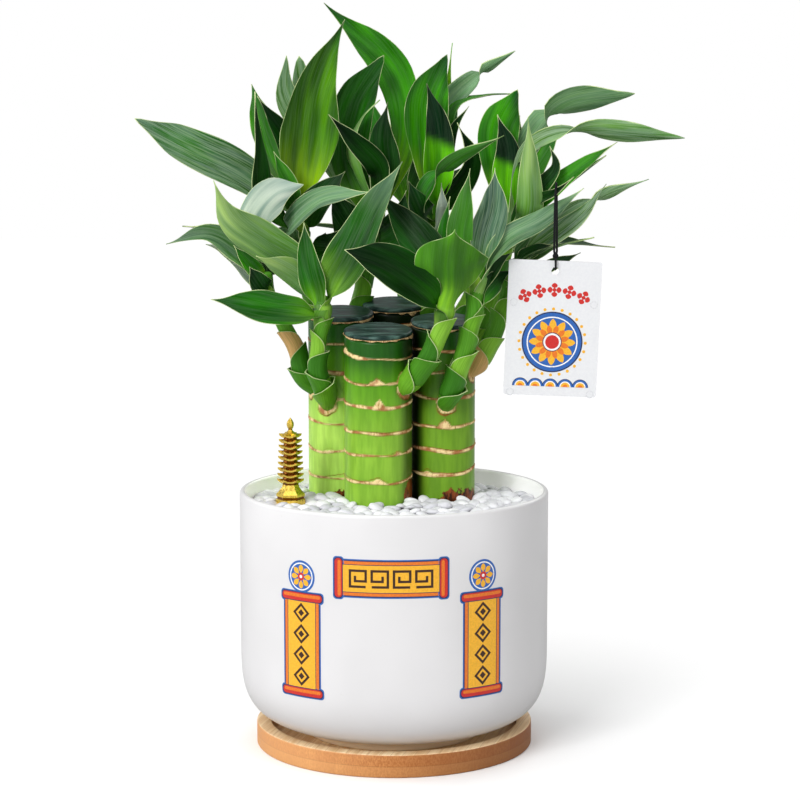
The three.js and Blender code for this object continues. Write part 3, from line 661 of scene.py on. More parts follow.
def make_leaf(piece, stem, radii, layer, seed, start, through, look, **form):
    """A blade with a foot that clasps its stem, over the feet of as many higher leaves as its layer says."""
    rand = random.Random(seed)
    midrib = Route([stem.at(start), *through])
    blade = Blade(rand, midrib, look=look, **form)
    shares = [i / BLADE_STEPS for i in range(BLADE_STEPS + 1)]
    toward = np.array(through[0], float) - stem.at(start)
    foot = clasp_rows(stem, radii, start, toward, blade.side(), layer)
    rows = [blade.row(share) for share in shares]
    draw_to_foot(rows, foot[-1], midrib)
    base = leaf_tint(look, 0)
    foot_tints = [[mix(CLASP_TINT, base, 0.25 + 0.6 * i / CLASP_STEPS)] * len(HANDS)
                  for i in range(CLASP_STEPS)]
    tints = foot_tints + [blade.tints(share) for share in shares]
    foot_along = [(i / CLASP_STEPS - 1) * CLASP_LENGTH for i in range(CLASP_STEPS)]
    along = foot_along + [share * midrib.length for share in shares]
    leaf_skin(piece, foot[:-1] + rows, tints, along, LOOKS[look][5], rand.uniform(0, 90))


STEM_SIDES = 24
STEM_STEPS = 40
STEM_FILL = 0.94
ROOT_FILL = 0.62
ROOT_STEPS = ((7.0, 0.45), (5.0, 0.7), (3.2, 0.86), (1.6, 0.95))
TIP_STEPS = 5
TIP_RISE = 2


def stem_tube(piece, route, thick, thin, tint, seed, inward):
    """The stem itself, with a root that narrows into its cane and a round tip."""
    frames = frames_along(route, STEM_STEPS)
    levels = []
    centre, _, normal, other = frames[0]
    for depth, share in ROOT_STEPS:
        levels.append((centre + inward * depth, ROOT_FILL * thick * share, normal, other, 0.0))
    for i, (centre, _, normal, other) in enumerate(frames):
        radius = STEM_FILL * stem_radius(i / STEM_STEPS, thick, thin)
        levels.append((centre, radius, normal, other, route.length * i / STEM_STEPS / GRAIN_LENGTH))
    centre, tangent, normal, other = frames[-1]
    for k in range(1, TIP_STEPS):
        angle = math.pi / 2 * k / TIP_STEPS
        rise = centre + tangent * TIP_RISE * math.sin(angle)
        levels.append((rise, STEM_FILL * thin * math.cos(angle), normal, other, 1.0))
    rings = [round_about(*level[:4], STEM_SIDES) for level in levels]
    reach = [level[1] * abs(angle - math.pi) for level in levels for angle in turns(STEM_SIDES)]
    along = [level[4] for level in levels for _ in range(STEM_SIDES)]
    piece.tube(rings, 1, edge=9.0, reach=reach, along=along, seed=seed, tint=tint)


SHEATH_ROWS = 14
SHEATH_HALF_THICK = 0.22
SHEATH_HANDS = (-1, -0.96, -0.85, -0.65, -0.4, -0.15, 0.15, 0.4, 0.65, 0.85, 0.96, 1)


def sheath(piece, frames, start, end, facing, thick, thin, tint, seed, grip, stand):
    """A pointed sheath that clasps the stem from one share of its length to another."""
    last = len(frames) - 1
    top, bottom, reach, edge, along = [], [], [], [], []
    for i in range(SHEATH_ROWS + 1):
        share = i / SHEATH_ROWS
        place = (start + (end - start) * share) * last
        k = min(last - 1, int(place))
        centre, _, normal, other = (mix(a, b, place - k) for a, b in zip(frames[k], frames[k + 1]))
        radius = stem_radius(place / last, thick, thin)
        radius = radius * (0.97 + 0.14 * share) + stand * max(0, share - 0.35) ** 2 * 3
        half = math.radians(max(1.5, grip * (1 - share**2.8) ** 0.62))
        upper, lower = [], []
        for hand in SHEATH_HANDS:
            angle = facing + hand * half
            out = math.cos(angle) * normal + math.sin(angle) * other
            flare = 0.5 * abs(hand) ** 4 * share
            upper.append(centre + out * (radius + flare + SHEATH_HALF_THICK))
            lower.append(centre + out * (radius + flare - SHEATH_HALF_THICK))
            reach.append(hand * half * radius)
            edge.append(min((1 - abs(hand)) * half * radius, 9))
            along.append(share)
        top.append(upper)
        bottom.append(lower)
    piece.shell(top, bottom, 1, reach=reach * 2, edge=edge * 2, along=along * 2, seed=seed, tint=tint)


def leaf(start, width, through, base_face, look, tip_face=None, **form):
    """A leaf's form: where it leaves the stem, its width, the points that its midrib goes through, the ways
    that its upper side faces at its base and at its tip, and its look."""
    return dict(start=start, width=width, through=through, base_face=base_face,
                tip_face=tip_face or base_face, look=look, **form)


# The shoots: the stem's route, its radius at its foot and at its top, and its leaves. Millimetres.
SHOOTS = {
    "left_front": dict(
        route=[(-32, 21, 163), (-34, 14, 171), (-37, 8, 182), (-36, 4, 197), (-34, 3, 210), (-35, 3, 217)],
        radii=(6.2, 3.4),
        leaves=[
            leaf(0.86, 20, [(-59, -5, 212), (-87, -12, 218)], (-0.1, -0.85, 0.5), "mid",
                 tip_face=(-0.1, -0.8, 0.6)),
            leaf(0.95, 22, [(-45, 7, 231), (-63, 5, 243), (-79, 1, 256), (-86, -2, 274)], (0.3, 0.9, 0.3),
                 "pale", tip_face=(0.3, 0.95, 0.1), peak=0.5, light=0.24),
            leaf(0.92, 13.5, [(-40, -2, 232), (-43, -3, 254)], (-0.3, -1, 0.1), "mid"),
            leaf(0.97, 15.5, [(-49, 3, 229), (-66, -2, 238)], (0.2, 0.9, 0.4), "pale"),
            leaf(0.95, 26, [(-21, -6, 235), (-10, -8, 259), (4, -6, 283)], (-0.4, -0.9, 0.2), "half",
                 tip_face=(-0.5, -0.8, 0.3)),
        ],
    ),
    "left_side": dict(
        route=[(-38, 28, 169), (-44, 26, 176), (-48, 23, 190), (-55, 21, 205), (-61, 20, 219),
               (-62, 20, 227)],
        radii=(5.6, 3),
        dry=2,
        leaves=[
            leaf(0.9, 14, [(-75, 17, 238), (-90, 14, 247), (-110, 8, 243)], (0, -0.8, 0.6), "grey"),
            leaf(0.8, 11, [(-74, 27, 231), (-84, 26, 239), (-92, 23, 242)], (0, -0.7, 0.7), "silver"),
            leaf(0.95, 9, [(-69, 17, 231), (-78, 16, 242)], (0.3, -0.9, 0.3), "bright_backlit"),
            leaf(0.85, 12, [(-64, 12, 222), (-70, 10, 232)], (0, -0.9, 0.4), "dark"),
            leaf(1, 22, [(-67, 22, 238), (-67, 23, 253), (-58, 24, 265), (-44, 22, 271)], (-0.4, -0.9, 0.3),
                 "silver", tip_face=(-0.3, -0.8, 0.5), peak=0.6, taper=0.7),
        ],
    ),
    "left_back": dict(
        route=[(-32, 41, 190), (-37, 47, 202), (-42, 48, 220), (-46, 47, 240), (-47, 45, 258)],
        radii=(6, 3.4),
        leaves=[
            leaf(0.95, 22, [(-74, 40, 275), (-101, 32, 289), (-126, 24, 303)], (0.1, -0.9, 0.4), "long",
                 peak=0.55, taper=0.62),
            leaf(0.8, 15, [(-65, 36, 263), (-67, 33, 288), (-68, 33, 316)], (0.85, -0.5, 0), "dark"),
            leaf(0.95, 16, [(-51, 52, 287), (-68, 50, 314)], (0.2, -1, 0), "deep"),
            leaf(1, 32, [(-43, 46, 290), (-38, 42, 319), (-24, 36, 351)], (0.05, -1, 0.1), "olive",
                 peak=0.4, taper=1.1, straight=0.75, light=0.3),
            leaf(0.9, 11, [(-51, 34, 270), (-59, 31, 287)], (-0.3, -0.9, 0.2), "fresh"),
            leaf(0.75, 15, [(-52, 28, 248), (-36, 18, 263), (-12, 9, 268)], (0, -0.75, 0.65), "sheened",
                 peak=0.5, taper=0.8),
            leaf(0.85, 16, [(-37, 38, 263), (-24, 36, 277)], (0, -0.9, 0.4), "dark"),
            leaf(0.6, 18, [(-58, 36, 232), (-72, 30, 226)], (0, -0.8, 0.6), "dark"),
            leaf(0.7, 20, [(-30, 34, 238), (-17, 28, 252)], (0.2, -0.9, 0.4), "dark"),
            leaf(0.9, 18, [(-66, 72, 270), (-92, 96, 290)], (0.5, -0.4, 0.8), "mid"),
            leaf(0.97, 19, [(-62, 72, 286), (-74, 104, 320)], (0.4, -0.8, 0.5), "fresh"),
            leaf(0.75, 15, [(-76, 62, 246), (-108, 74, 248)], (0.2, 0, 1), "dark"),
        ],
    ),
    "back_left": dict(
        route=[(-12, 53, 193), (-18, 55, 203), (-15, 57, 219), (-11, 56, 240), (-8, 52, 260)],
        radii=(5.4, 3.4),
        leaves=[
            leaf(0.95, 13, [(-7, 38, 277), (-19, 33, 291), (-32, 28, 305)], (-0.4, -0.75, 0.5), "deep"),
            leaf(1, 17, [(-5, 46, 278), (-6, 44, 295), (-3, 42, 311)], (0.1, -1, 0.1), "dark"),
            leaf(0.85, 22, [(-23, 58, 280), (-20, 56, 309), (-5, 52, 334)], (0.2, -0.95, 0), "mid",
                 peak=0.6, taper=0.55),
            leaf(0.95, 19, [(5, 64, 292), (0, 66, 324), (-35, 62, 360)], (0.25, -0.95, 0), "bright_backlit",
                 peak=0.6),
            leaf(0.8, 15, [(-35, 68, 287), (-54, 70, 314), (-54, 66, 334)], (0.1, 1, 0), "striped",
                 peak=0.66, taper=0.7),
            leaf(0.85, 17, [(-33, 76, 297), (-46, 76, 320), (-48, 74, 334)], (0.1, 1, 0), "striped",
                 peak=0.78, taper=0.5),
            leaf(0.9, 11, [(-22, 50, 287), (-16, 51, 303), (-7, 52, 312)], (0.75, 0.3, -0.5), "pale"),
            leaf(0.6, 21, [(-21, 44, 250), (-32, 40, 268)], (-0.2, -0.9, 0.4), "dark"),
            leaf(0.7, 20, [(1, 36, 250), (6, 30, 268)], (0.1, -0.9, 0.3), "dark"),
        ],
    ),
    "back_right": dict(
        route=[(11, 50, 198), (17, 48, 208), (18, 48, 225), (19, 44, 243), (19, 40, 260)],
        radii=(5.4, 3.4),
        leaves=[
            leaf(1, 22, [(17, 42, 287), (17, 40, 312), (26, 35, 334)], (-0.1, -1, 0), "bright_backlit", peak=0.62,
                 taper=0.6),
            leaf(0.95, 17, [(22, 34, 278), (21, 32, 300), (16, 30, 320)], (0.1, -1, 0.1), "shadow_tipped"),
            leaf(0.9, 8, [(26, 52, 314), (29, 52, 340)], (0.6, -0.8, 0), "lime"),
            leaf(0.95, 12, [(25, 48, 307), (43, 50, 325), (60, 48, 336)], (0.3, -0.8, 0.5), "sheened",
                 tip_face=(0, 0.9, 0.4), peak=0.6, taper=0.7, flip=0.8),
            leaf(0.9, 11, [(29, 46, 308), (45, 46, 314), (59, 44, 315)], (0, -0.35, 1), "fresh"),
            leaf(0.95, 8, [(29, 42, 297), (37, 40, 309)], (0.3, -0.8, 0.5), "dark"),
            leaf(0.9, 13, [(38, 32, 281), (31, 32, 301)], (0.5, -0.8, 0.2), "deep"),
            leaf(0.85, 11, [(15, 22, 266), (27, 16, 281), (53, 12, 295)], (-0.3, -0.8, 0.5), "mid",
                 tip_face=(0, 0.9, 0.4), flip=0.52),
            leaf(0.8, 15, [(13, 22, 259), (7, 18, 273)], (0, -0.9, 0.4), "dark"),
            leaf(0.75, 11, [(23, 20, 260), (23, 19, 272)], (0.5, -0.8, 0), "silver"),
        ],
    ),
    "front_right": dict(
        route=[(3, -4, 174), (9, -9, 179.5), (16, -15, 190), (22, -20, 204), (25, -22, 216)],
        radii=(6.4, 4),
        leaves=[
            leaf(0.95, 23, [(12, -27, 225), (-4, -31, 236), (-23, -34, 243)], (-0.2, -0.9, 0.45), "deep",
                 tip_face=(-0.2, -0.85, 0.5), peak=0.5, taper=0.8),
            leaf(1, 37, [(26, -27, 226), (26, -34, 236), (28, -44, 253)], (0, 1, 0.3), "cup",
                 tip_face=(0, 0.8, 0.6), peak=0.5, neck=0.28, taper=1.35, wave=0.4),
            leaf(0.97, 22, [(17, -6, 239), (5, 3, 254), (-8, 9, 269)], (-0.3, -0.85, 0.4), "dark"),
            leaf(1, 11, [(24, 6, 250), (27, 8, 266)], (0.1, -1, 0), "mid"),
        ],
    ),
    "right_front": dict(
        route=[(25, 5, 164), (26, -1, 169.5), (31, -8, 184), (36, -12, 202), (39, -12, 220), (40, -12, 233)],
        radii=(6, 3.6),
        leaves=[
            leaf(0.97, 13, [(31, -14, 245), (33, -14, 263), (36, -12, 280)], (0.1, 1, 0), "fresh"),
            leaf(1, 18, [(43, -8, 247), (47, -6, 262), (48, -4, 280)], (0.1, -1, 0.15), "slate"),
            leaf(0.95, 13, [(54, -8, 246), (71, 0, 255), (91, 4, 270)], (-0.3, -0.9, 0.35), "sheened"),
            leaf(0.75, 10, [(46, -10, 224), (51, -1, 228), (57, 1, 231)], (0, -1, 0.1), "dark"),
            leaf(0.8, 10, [(49, -1, 234), (58, 3, 240)], (-0.1, -0.7, 0.7), "dark"),
        ],
    ),
    "right_side": dict(
        route=[(36, 11, 180), (42, 8, 187), (48, 8, 199), (53, 9, 213), (57, 10, 225), (59, 10, 234)],
        radii=(5.6, 3.2),
        dry=0,
        leaves=[
            leaf(1, 11, [(74, 10, 244), (91, 8, 258), (102, 6, 272)], (-0.3, -0.85, 0.45), "striped"),
            leaf(0.95, 12, [(81, 16, 253), (102, 14, 266), (123, 12, 274)], (0.1, -0.6, 0.8), "striped",
                 tip_face=(0, 0.8, 0.5), flip=0.66),
            leaf(0.9, 6.5, [(76, 14, 240), (97, 12, 246)], (0, -0.3, 1), "pale"),
            leaf(0.9, 13, [(63, 4, 238), (77, 4, 243)], (0, -0.4, 1), "dark"),
            leaf(0.85, 8.5, [(73, 8, 231), (90, 6, 239)], (-0.2, -0.8, 0.5), "deep"),
            leaf(0.97, 13, [(68, 16, 243), (78, 20, 249)], (0, -0.8, 0.6), "grey"),
        ],
    ),
    "right_back": dict(
        route=[(35, 20, 189), (40, 22, 196), (47, 26, 214), (54, 28, 236), (57, 27, 256)],
        radii=(5.6, 3.4),
        leaves=[
            leaf(1, 21, [(53, 29, 273), (51, 27, 297), (60, 23, 317)], (-0.05, -1, 0), "bright_backlit", peak=0.62,
                 taper=0.6),
            leaf(0.95, 16, [(55, 22, 268), (55, 20, 288), (50, 18, 305)], (0.1, -1, 0.1), "shadow_tipped"),
            leaf(0.85, 14, [(65, 5, 257), (65, 3, 281), (64, 3, 304)], (0, 1, 0.1), "pale"),
            leaf(0.95, 16, [(64, 30, 288), (81, 24, 308), (116, 14, 315)], (0.3, -0.8, 0.5), "sheened",
                 tip_face=(0, 0.9, 0.45), peak=0.66, taper=0.6, flip=0.58),
            leaf(0.9, 11.5, [(66, 18, 288), (87, 10, 297), (113, 2, 296), (138, -4, 294)], (0.1, -0.7, 0.7),
                 "striped", tip_face=(0, 0.9, 0.45), peak=0.72, taper=0.6, flip=0.56),
            leaf(0.9, 13.5, [(73, 16, 266), (90, 10, 280), (107, 6, 292)], (-0.4, -0.8, 0.4), "bright_backlit"),
            leaf(0.9, 11, [(70, 13, 269), (78, 9, 280), (75, 11, 290)], (-0.4, -0.8, 0.3), "dark"),
            leaf(0.85, 7, [(68, 11, 262.5), (77, -6, 268.7), (85, -12, 276)], (-0.1, -1, 0.25), "dark",
                 wave=0.3),
        ],
    ),
    "far_back": dict(
        route=[(2, 62, 187), (4, 69, 196), (7, 77, 213), (9, 82, 234), (9, 84, 254)],
        radii=(6, 3.4),
        leaves=[
            leaf(0.9, 19, [(-12, 98, 262), (-44, 112, 286)], (0.3, -0.1, 1), "mid", tip_face=(0.2, 0.1, 1)),
            leaf(0.97, 22, [(12, 100, 275), (14, 122, 312)], (0, -0.8, 0.6), "fresh"),
            leaf(0.92, 18, [(30, 96, 268), (62, 112, 292)], (-0.3, -0.2, 1), "dark"),
            leaf(1, 20, [(-8, 92, 288), (-20, 104, 322)], (0.3, -0.9, 0.3), "mid"),
            leaf(0.98, 20, [(21, 90, 284), (34, 98, 316)], (-0.4, -0.9, 0.2), "dark"),
            leaf(0.8, 17, [(8, 108, 246), (6, 132, 236)], (0, 0.2, 1), "dark"),
            leaf(0.8, 15, [(-20, 98, 244), (-52, 108, 248)], (0, 0.2, 1), "deep"),
        ],
    ),
    "far_right": dict(
        route=[(25, 28, 183), (26, 33, 192), (34, 43, 206), (45, 50, 224), (52, 54, 244)],
        radii=(6, 3.4),
        leaves=[
            leaf(0.95, 18, [(78, 64, 262), (108, 74, 284)], (-0.4, -0.2, 0.9), "mid"),
            leaf(0.97, 20, [(68, 66, 272), (86, 84, 298)], (-0.5, -0.7, 0.4), "fresh"),
            leaf(1, 18, [(61, 63, 274), (64, 76, 304)], (0, -1, 0.3), "dark"),
            leaf(0.85, 16, [(80, 58, 240), (112, 62, 238)], (0, -0.1, 1), "dark"),
            leaf(0.9, 16, [(64, 76, 250), (78, 104, 262)], (-0.2, -0.3, 1), "mid"),
        ],
    ),
}

STEM_TINTS = [rgb(104, 166, 38), rgb(72, 138, 28), rgb(56, 120, 26), rgb(130, 188, 56), rgb(84, 148, 36)]
DRY = rgb(206, 168, 106)
SHEATH_SPACING = 12
SHEATHED = 0.76


def toward_cane(place):
    """The level direction from a shoot's foot to the middle of the cane that it grows from."""
    ways = [np.array([cane["x"] - place[0], cane["y"] - place[1], 0.0]) for cane in CANES.values()]
    return unit(min(ways, key=np.linalg.norm))


def make_shoot(name, route, radii, leaves, order, dry=None):
    """A leafy stem. Dry is the number of the one sheath that has dried."""
    piece = Piece(f"shoot_{name}_leafy", LEAF_VALUES, ("tint",))
    stem = Route(route)
    rand = random.Random(40 + order)
    tint = STEM_TINTS[order % len(STEM_TINTS)]
    stem_tube(piece, stem, *radii, tint, rand.uniform(0, 90), toward_cane(route[0]))
    frames = frames_along(stem, STEM_STEPS)
    count = max(4, round(stem.length / SHEATH_SPACING))
    for k in range(count):
        start = 0.015 + SHEATHED * k / count
        end = min(0.97, start + (1.5 + 0.3 * rand.random()) * SHEATHED / count)
        facing = math.radians((-1) ** (k + order) * 70 + rand.uniform(-22, 22))
        tint = DRY if k == dry else STEM_TINTS[(k + order) % len(STEM_TINTS)]
        sheath(piece, frames, start, end, facing, *radii, tint, rand.uniform(0, 90), rand.uniform(135, 160),
               rand.uniform(0.9, 1.4))
    ranks = sorted(range(len(leaves)), key=lambda k: -leaves[k]["start"])
    for k, form in enumerate(leaves):
        make_leaf(piece, stem, radii, ranks.index(k), 100 * order + k, **form)
    return dress(piece.make([LEAF, STEM]), "leaf", f"shoot_{name}")


for order, (name, shoot) in enumerate(SHOOTS.items()):
    make_shoot(name, order=order, **shoot)


# Canes: rings with tan scars, and wax on each cut top. The rings slope up towards the back, the more so the
# higher they are, from one height up to another.
CANE_SIDES = 144
CANE_ROW = 0.45
CANE_FOOT = 40
CANE_IN_SOIL = 76
CANE_SEEN_FROM = 112
CANE_TILT = 0.125
TILT_FROM = 40
TILT_FULL = 120
ROOTS_FROM = 114
WAX_THICKNESS = 2.4
CANE_LOWER = rgb(140, 198, 46)
CANE_MIDDLE = rgb(96, 164, 24)
CANE_UPPER = rgb(34, 96, 18)
CANE_PALEST = rgb(208, 236, 130)
CANE_PAINTED_SHADE = rgb(10, 22, 4)
# How light each cane is: partly its own tone, partly painted light and shade.
CANE_SHADES = {"front": 0.8, "left": 1.06, "back": 0.6, "right": 0.56}
CANE_PALE = {"front": 0.1, "left": 0.4, "back": 0.0, "right": 0.0}
SCAR_REACH = 0.42
RING_REACH = 8
BUD_SCAR = 0.6
BUD_SCAR_ABOVE = 0.3


def ripples(rand, count, size):
    """A smooth closed wave round a cane, as a function of the angle."""
    waves = [(k, rand.uniform(-1, 1) * size / k**0.7, rand.uniform(0, 6.3)) for k in range(1, count + 1)]
    return lambda angle: sum(height * math.sin(k * angle + phase) for k, height, phase in waves)


def on_cane(cane, angle, radius, z):
    """A point round a cane, at an angle from the front. Its ring slopes up towards the back."""
    x, y = radius * math.sin(angle), -radius * math.cos(angle)
    share = min(1, max(0, (z - TILT_FROM) / (TILT_FULL - TILT_FROM)))
    return (x + cane["x"], y + cane["y"], z + share * CANE_TILT * y)


def turned_from(angle, place):
    """How far an angle in radians is from a place in degrees: in degrees, from -180 to 180."""
    return (math.degrees(angle) - place + 180) % 360 - 180


def cane_material():
    """Lengthwise streaks, frayed tan scars with a brown line at their edge, and matted roots."""
    look = Look("cane")
    place = look.place()
    streaks = look.noise(look.stretch(place, (1, 1, 0.16)), 420, 3.0)
    blotch = look.noise(place, 90, 2.0)
    frays = look.noise(look.stretch(place, (1, 1, 0.35)), 620, 3.0, 0.7)
    rust = look.noise(place, 150, 2.0)
    tangle = look.noise(place, 330, 5.0, 0.7)
    tint, scar = look.colour("tint"), look.value("scar")
    lit = look.mix(look.span(streaks, 0.3, 0.7), look.shade(tint, (0.84, 0.86, 0.8)),
                   look.shade(tint, (1.12, 1.08, 1.1)))
    lit = look.mix(look.span(blotch, 0.5, 0.75, 0.0, 0.3), lit, look.shade(lit, (0.7, 0.82, 0.55)))
    tan = look.mix(look.span(frays, 0.28, 0.54), rgb(178, 124, 72), rgb(238, 212, 156))
    tan = look.mix(look.span(rust, 0.44, 0.62, 0.0, 0.85), tan, rgb(156, 82, 42))
    brown = look.mix(look.span(frays, 0.3, 0.7), rgb(84, 34, 10), rgb(158, 84, 34))
    ringed = look.mix(look.times(scar, look.span(frays, 0.2, 0.5, 0.7, 1.0), clamp=True), lit, tan)
    lined = look.mix(look.value("line"), ringed, brown)
    matted = look.span(look.plus(look.value("root"), look.times(tangle, 1.8)), 1.35, 1.5)
    rooted = look.mix(matted, lined, look.mix(look.span(frays, 0.4, 0.6), rgb(50, 22, 8), rgb(136, 68, 28)))
    look.bump(look.plus(look.times(streaks, 0.25), look.times(frays, scar)), 0.4, 0.0005)
    return look.set(colour=rooted, rough=look.span(scar, 0.1, 0.8, 0.34, 0.85), specular=0.25)


CANE = cane_material()


def patch_height(cane, index, angle, fray):
    """How far the papery scar stands above a ring at this angle."""
    tall = 0.0
    for ring, place, half, height in cane["patches"]:
        share = math.radians(abs(turned_from(angle, place))) * cane["radius"] / half
        if ring == index and share < 1:
            tall = max(tall, height * (1 - share) ** 0.7 * (1 + 0.35 * fray(7 * angle)))
    return tall


def bud_routes(cane):
    """The lower parts of the shoots that grow from a cane, as points with the stem's radius."""
    found = []
    for shoot in SHOOTS.values():
        foot = shoot["route"][0]
        near = min(CANES.values(), key=lambda other: math.hypot(foot[0] - other["x"], foot[1] - other["y"]))
        if near is cane:
            found.append((Route(shoot["route"]).fine[:60:6], 0.77 * shoot["radii"][0]))
    return found


def bud_scar(point, buds, fray):
    """At a point of a cane, the scar round a shoot's foot, broadest below it, and the line at its edge."""
    scar, line = 0.0, 0.0
    for route, radius in buds:
        ways = point - route
        nearest = ways[np.argmin(np.sum(ways**2, axis=1))]
        if np.sum(nearest**2) > (radius + 4) ** 2:
            continue
        below = smooth(0.3, -0.7, nearest[2] / (radius + 2))
        reach = BUD_SCAR_ABOVE + (BUD_SCAR - BUD_SCAR_ABOVE) * below
        away = np.linalg.norm(nearest) - radius + 0.5 * fray
        scar = max(scar, 1 - smooth(0.7 * reach, reach, away))
        line = max(line, below * (1 - smooth(0.1, 0.45, abs(away - reach - 0.25))))
    return scar, line


def cane_marks(cane, rand, fray):
    """For each ring its height, and for each side of the cane the ring's height there, half its breadth, the
    height of its papery part, how dark its line is, how high a second line stands, if one forks off, and how
    strong that one is."""
    found = []
    for index, height in enumerate(cane["rings"]):
        swing, width, dark = ripples(rand, 5, 0.85), ripples(rand, 9, 0.8), ripples(rand, 6, 0.6)
        fork, rise = rand.uniform(0, 360), rand.uniform(1.2, 2.6)
        sides = []
        for angle in turns(CANE_SIDES):
            parted = turned_from(angle, fork)
            forked = rise * smooth(0, 60, parted) if 0 < parted < 80 else None
            sides.append((height + swing(angle), SCAR_REACH * (1 + max(-0.75, width(angle))),
                          patch_height(cane, index, angle, fray), min(1, max(0.15, 0.6 + dark(angle))),
                          forked, 1 - smooth(50, 80, parted)))
        found.append((height, sides))
    return found


def cane_point(marks, z, k):
    """The scar, the dark line and the swelling of a cane at a height and a side."""
    scar, line, bulge = 0.0, 0.0, 0.0
    for height, sides in marks:
        if abs(z - height) > RING_REACH:
            continue
        level, reach, tall, dark, forked, fade = sides[k]
        away = z - level
        scar = max(scar, 1 - smooth(reach, reach + 0.3, abs(away)))
        line = max(line, dark * (1 - smooth(0.08, 0.36, abs(away - reach - 0.22 - tall))))
        line = max(line, 0.5 * dark * (1 - smooth(0.05, 0.25, abs(away + reach + 0.2))))
        if forked is not None:
            line = max(line, 0.75 * fade * (1 - smooth(0.08, 0.34, abs(away - forked))))
        bulge += 0.22 * math.exp(-((away / 0.7) ** 2)) - 0.2 * math.exp(-(((away - 0.8) / 0.4) ** 2))
        if away > 0 and tall:
            scar = max(scar, 1 - smooth(tall - 0.3, tall, away))
            bulge += 0.25 * (1 - smooth(tall - 0.4, tall + 0.1, away))
    return scar, line, bulge


def cane_rows(top):
    """The heights of a cane's rings of points: two in the soil, then close together up to its rounded top."""
    last = top - 1
    count = round((last - CANE_SEEN_FROM) / CANE_ROW)
    seen = [CANE_SEEN_FROM + (last - CANE_SEEN_FROM) * k / count for k in range(count + 1)]
    return [CANE_FOOT, CANE_IN_SOIL, *seen, top - 0.5, top]


def cane_tint(name, cane, z, angle, fray):
    """The green of a cane: palest low down, darkest under its top, nearly black with painted shade next to
    other canes.
    """
    low = smooth(cane["top"] - 56, cane["top"] - 20, z)
    high = smooth(cane["top"] - 25, cane["top"] - 7, z + 2.5 * fray)
    lower = mix(CANE_LOWER, CANE_PALEST, CANE_PALE[name])
    tint = mix(mix(lower, CANE_MIDDLE, low), CANE_UPPER, high) * CANE_SHADES[name]
    # Painted shade: the sides that face other canes are darkened towards near black.
    for place, near, far, strength, height in cane["painted_shade"]:
        shade_share = 1 - smooth(near, far, abs(turned_from(angle, place)))
        tint = mix(tint, CANE_PAINTED_SHADE, strength * shade_share * smooth(height - 14, height, z))
    return tint


def root_cover(cane, z, angle, fray):
    """How much of a cane's foot is under brown roots, which reach up in tongues."""
    root = 0.0
    for place, spread, height in cane["roots"]:
        near = 1 - smooth(0.3 * spread, spread, abs(turned_from(angle, place)))
        reached = ROOTS_FROM + (height - ROOTS_FROM) * near + 1.8 * fray
        root = max(root, near * (1 - smooth(reached - 7, reached + 3, z)))
    return root


def make_cane(name, cane, order):
    rand = random.Random(70 + order)
    piece = Piece(f"cane_{name}_ringed", ("scar", "line", "root"), ("tint",))
    top = cane["top"] - WAX_THICKNESS - 0.3
    fray = ripples(rand, 12, 0.6)
    marks = cane_marks(cane, rand, fray)
    buds = bud_routes(cane)
    sides = [(k, angle, fray(angle)) for k, angle in enumerate(turns(CANE_SIDES))]
    rings, scars, lines, roots, tints = [], [], [], [], []
    for z in cane_rows(top):
        ring = []
        for k, angle, frayed in sides:
            scar, line, bulge = cane_point(marks, z, k)
            radius = cane["radius"] - 0.25 + bulge
            if z > top - 0.9:
                radius = cane["radius"] - (0.5 if z < top else 1.3)
            point = on_cane(cane, angle, radius, z)
            bud, bud_line = bud_scar(np.array(point), buds, math.sin(9 * angle + z) * 0.5)
            ring.append(point)
            scars.append(max(scar, bud))
            lines.append(max(line, bud_line))
            roots.append(root_cover(cane, point[2], angle, frayed))
            tints.append(cane_tint(name, cane, z, angle, frayed))
        rings.append(ring)
    piece.tube(rings, 0, scar=scars, line=lines, root=roots, tint=tints)
    return dress(piece.make([CANE], sharp=70), "cane", f"cane_{name}")


def wax_material():
    look = Look("wax")
    swirl_and_sheen = look.noise(look.stretch(look.place(), (0.45, 1.4, 1)), 170, 3.0, 0.6)
    # Dark teal wax with paler streaks: partly its own swirls, partly painted sheen.
    colour = look.mix(look.span(swirl_and_sheen, 0.42, 0.7), rgb(6, 40, 36), rgb(84, 116, 106))
    look.bump(swirl_and_sheen, 0.5, 0.0007)
    return look.set(colour=colour, rough=look.span(swirl_and_sheen, 0.3, 0.7, 0.34, 0.5), specular=0.3)


WAX = wax_material()
PEEL = grained("peel", rgb(128, 78, 36), rgb(226, 194, 140), 1100, (0.5, 0.0003), 3.0, 0.7, (1, 1, 0.4),
               high=0.65, rough=0.85)

# The seal's section: shares of the cane's radius and of the wax's thickness
SEAL = ((0.02, 0), (0.7, 0), (0.955, 0.0), (0.985, 0.25), (1.0, 0.5), (0.995, 0.72), (0.97, 0.88),
        (0.93, 0.96), (0.86, 1.0), (0.6, 0.97), (0.3, 0.96), (0.02, 0.97))
PEEL_ROWS = 3
PEEL_FRAY = {"front": 0.8, "left": 1.4, "back": 2.2, "right": 0.9}


def make_wax(name, cane, rand):
    """The wax on a cane's cut top, a little swollen, with its rim sagged here and there."""
    piece = Piece(f"wax_{name}_seal")
    bottom = cane["top"] - WAX_THICKNESS
    drip = ripples(rand, 7, 0.5)
    swell = ripples(rand, 4, 0.25)
    rings = []
    for share, rise in SEAL:
        ring = []
        for angle in turns(CANE_SIDES):
            radius = cane["radius"] * share * (1 - 0.012 * abs(swell(angle)) * share)
            sag = min(0, drip(angle)) * 0.35 if 0 < rise < 0.6 and share > 0.9 else 0
            z = bottom + rise * (WAX_THICKNESS - 0.05) + sag * 0.5
            z += 0.12 * swell(angle) * share if rise >= 0.96 else 0
            ring.append(on_cane(cane, angle, radius, min(z, cane["top"])))
        rings.append(ring)
    piece.tube(rings)
    return dress(piece.make([WAX]), "wax", f"wax_{name}")


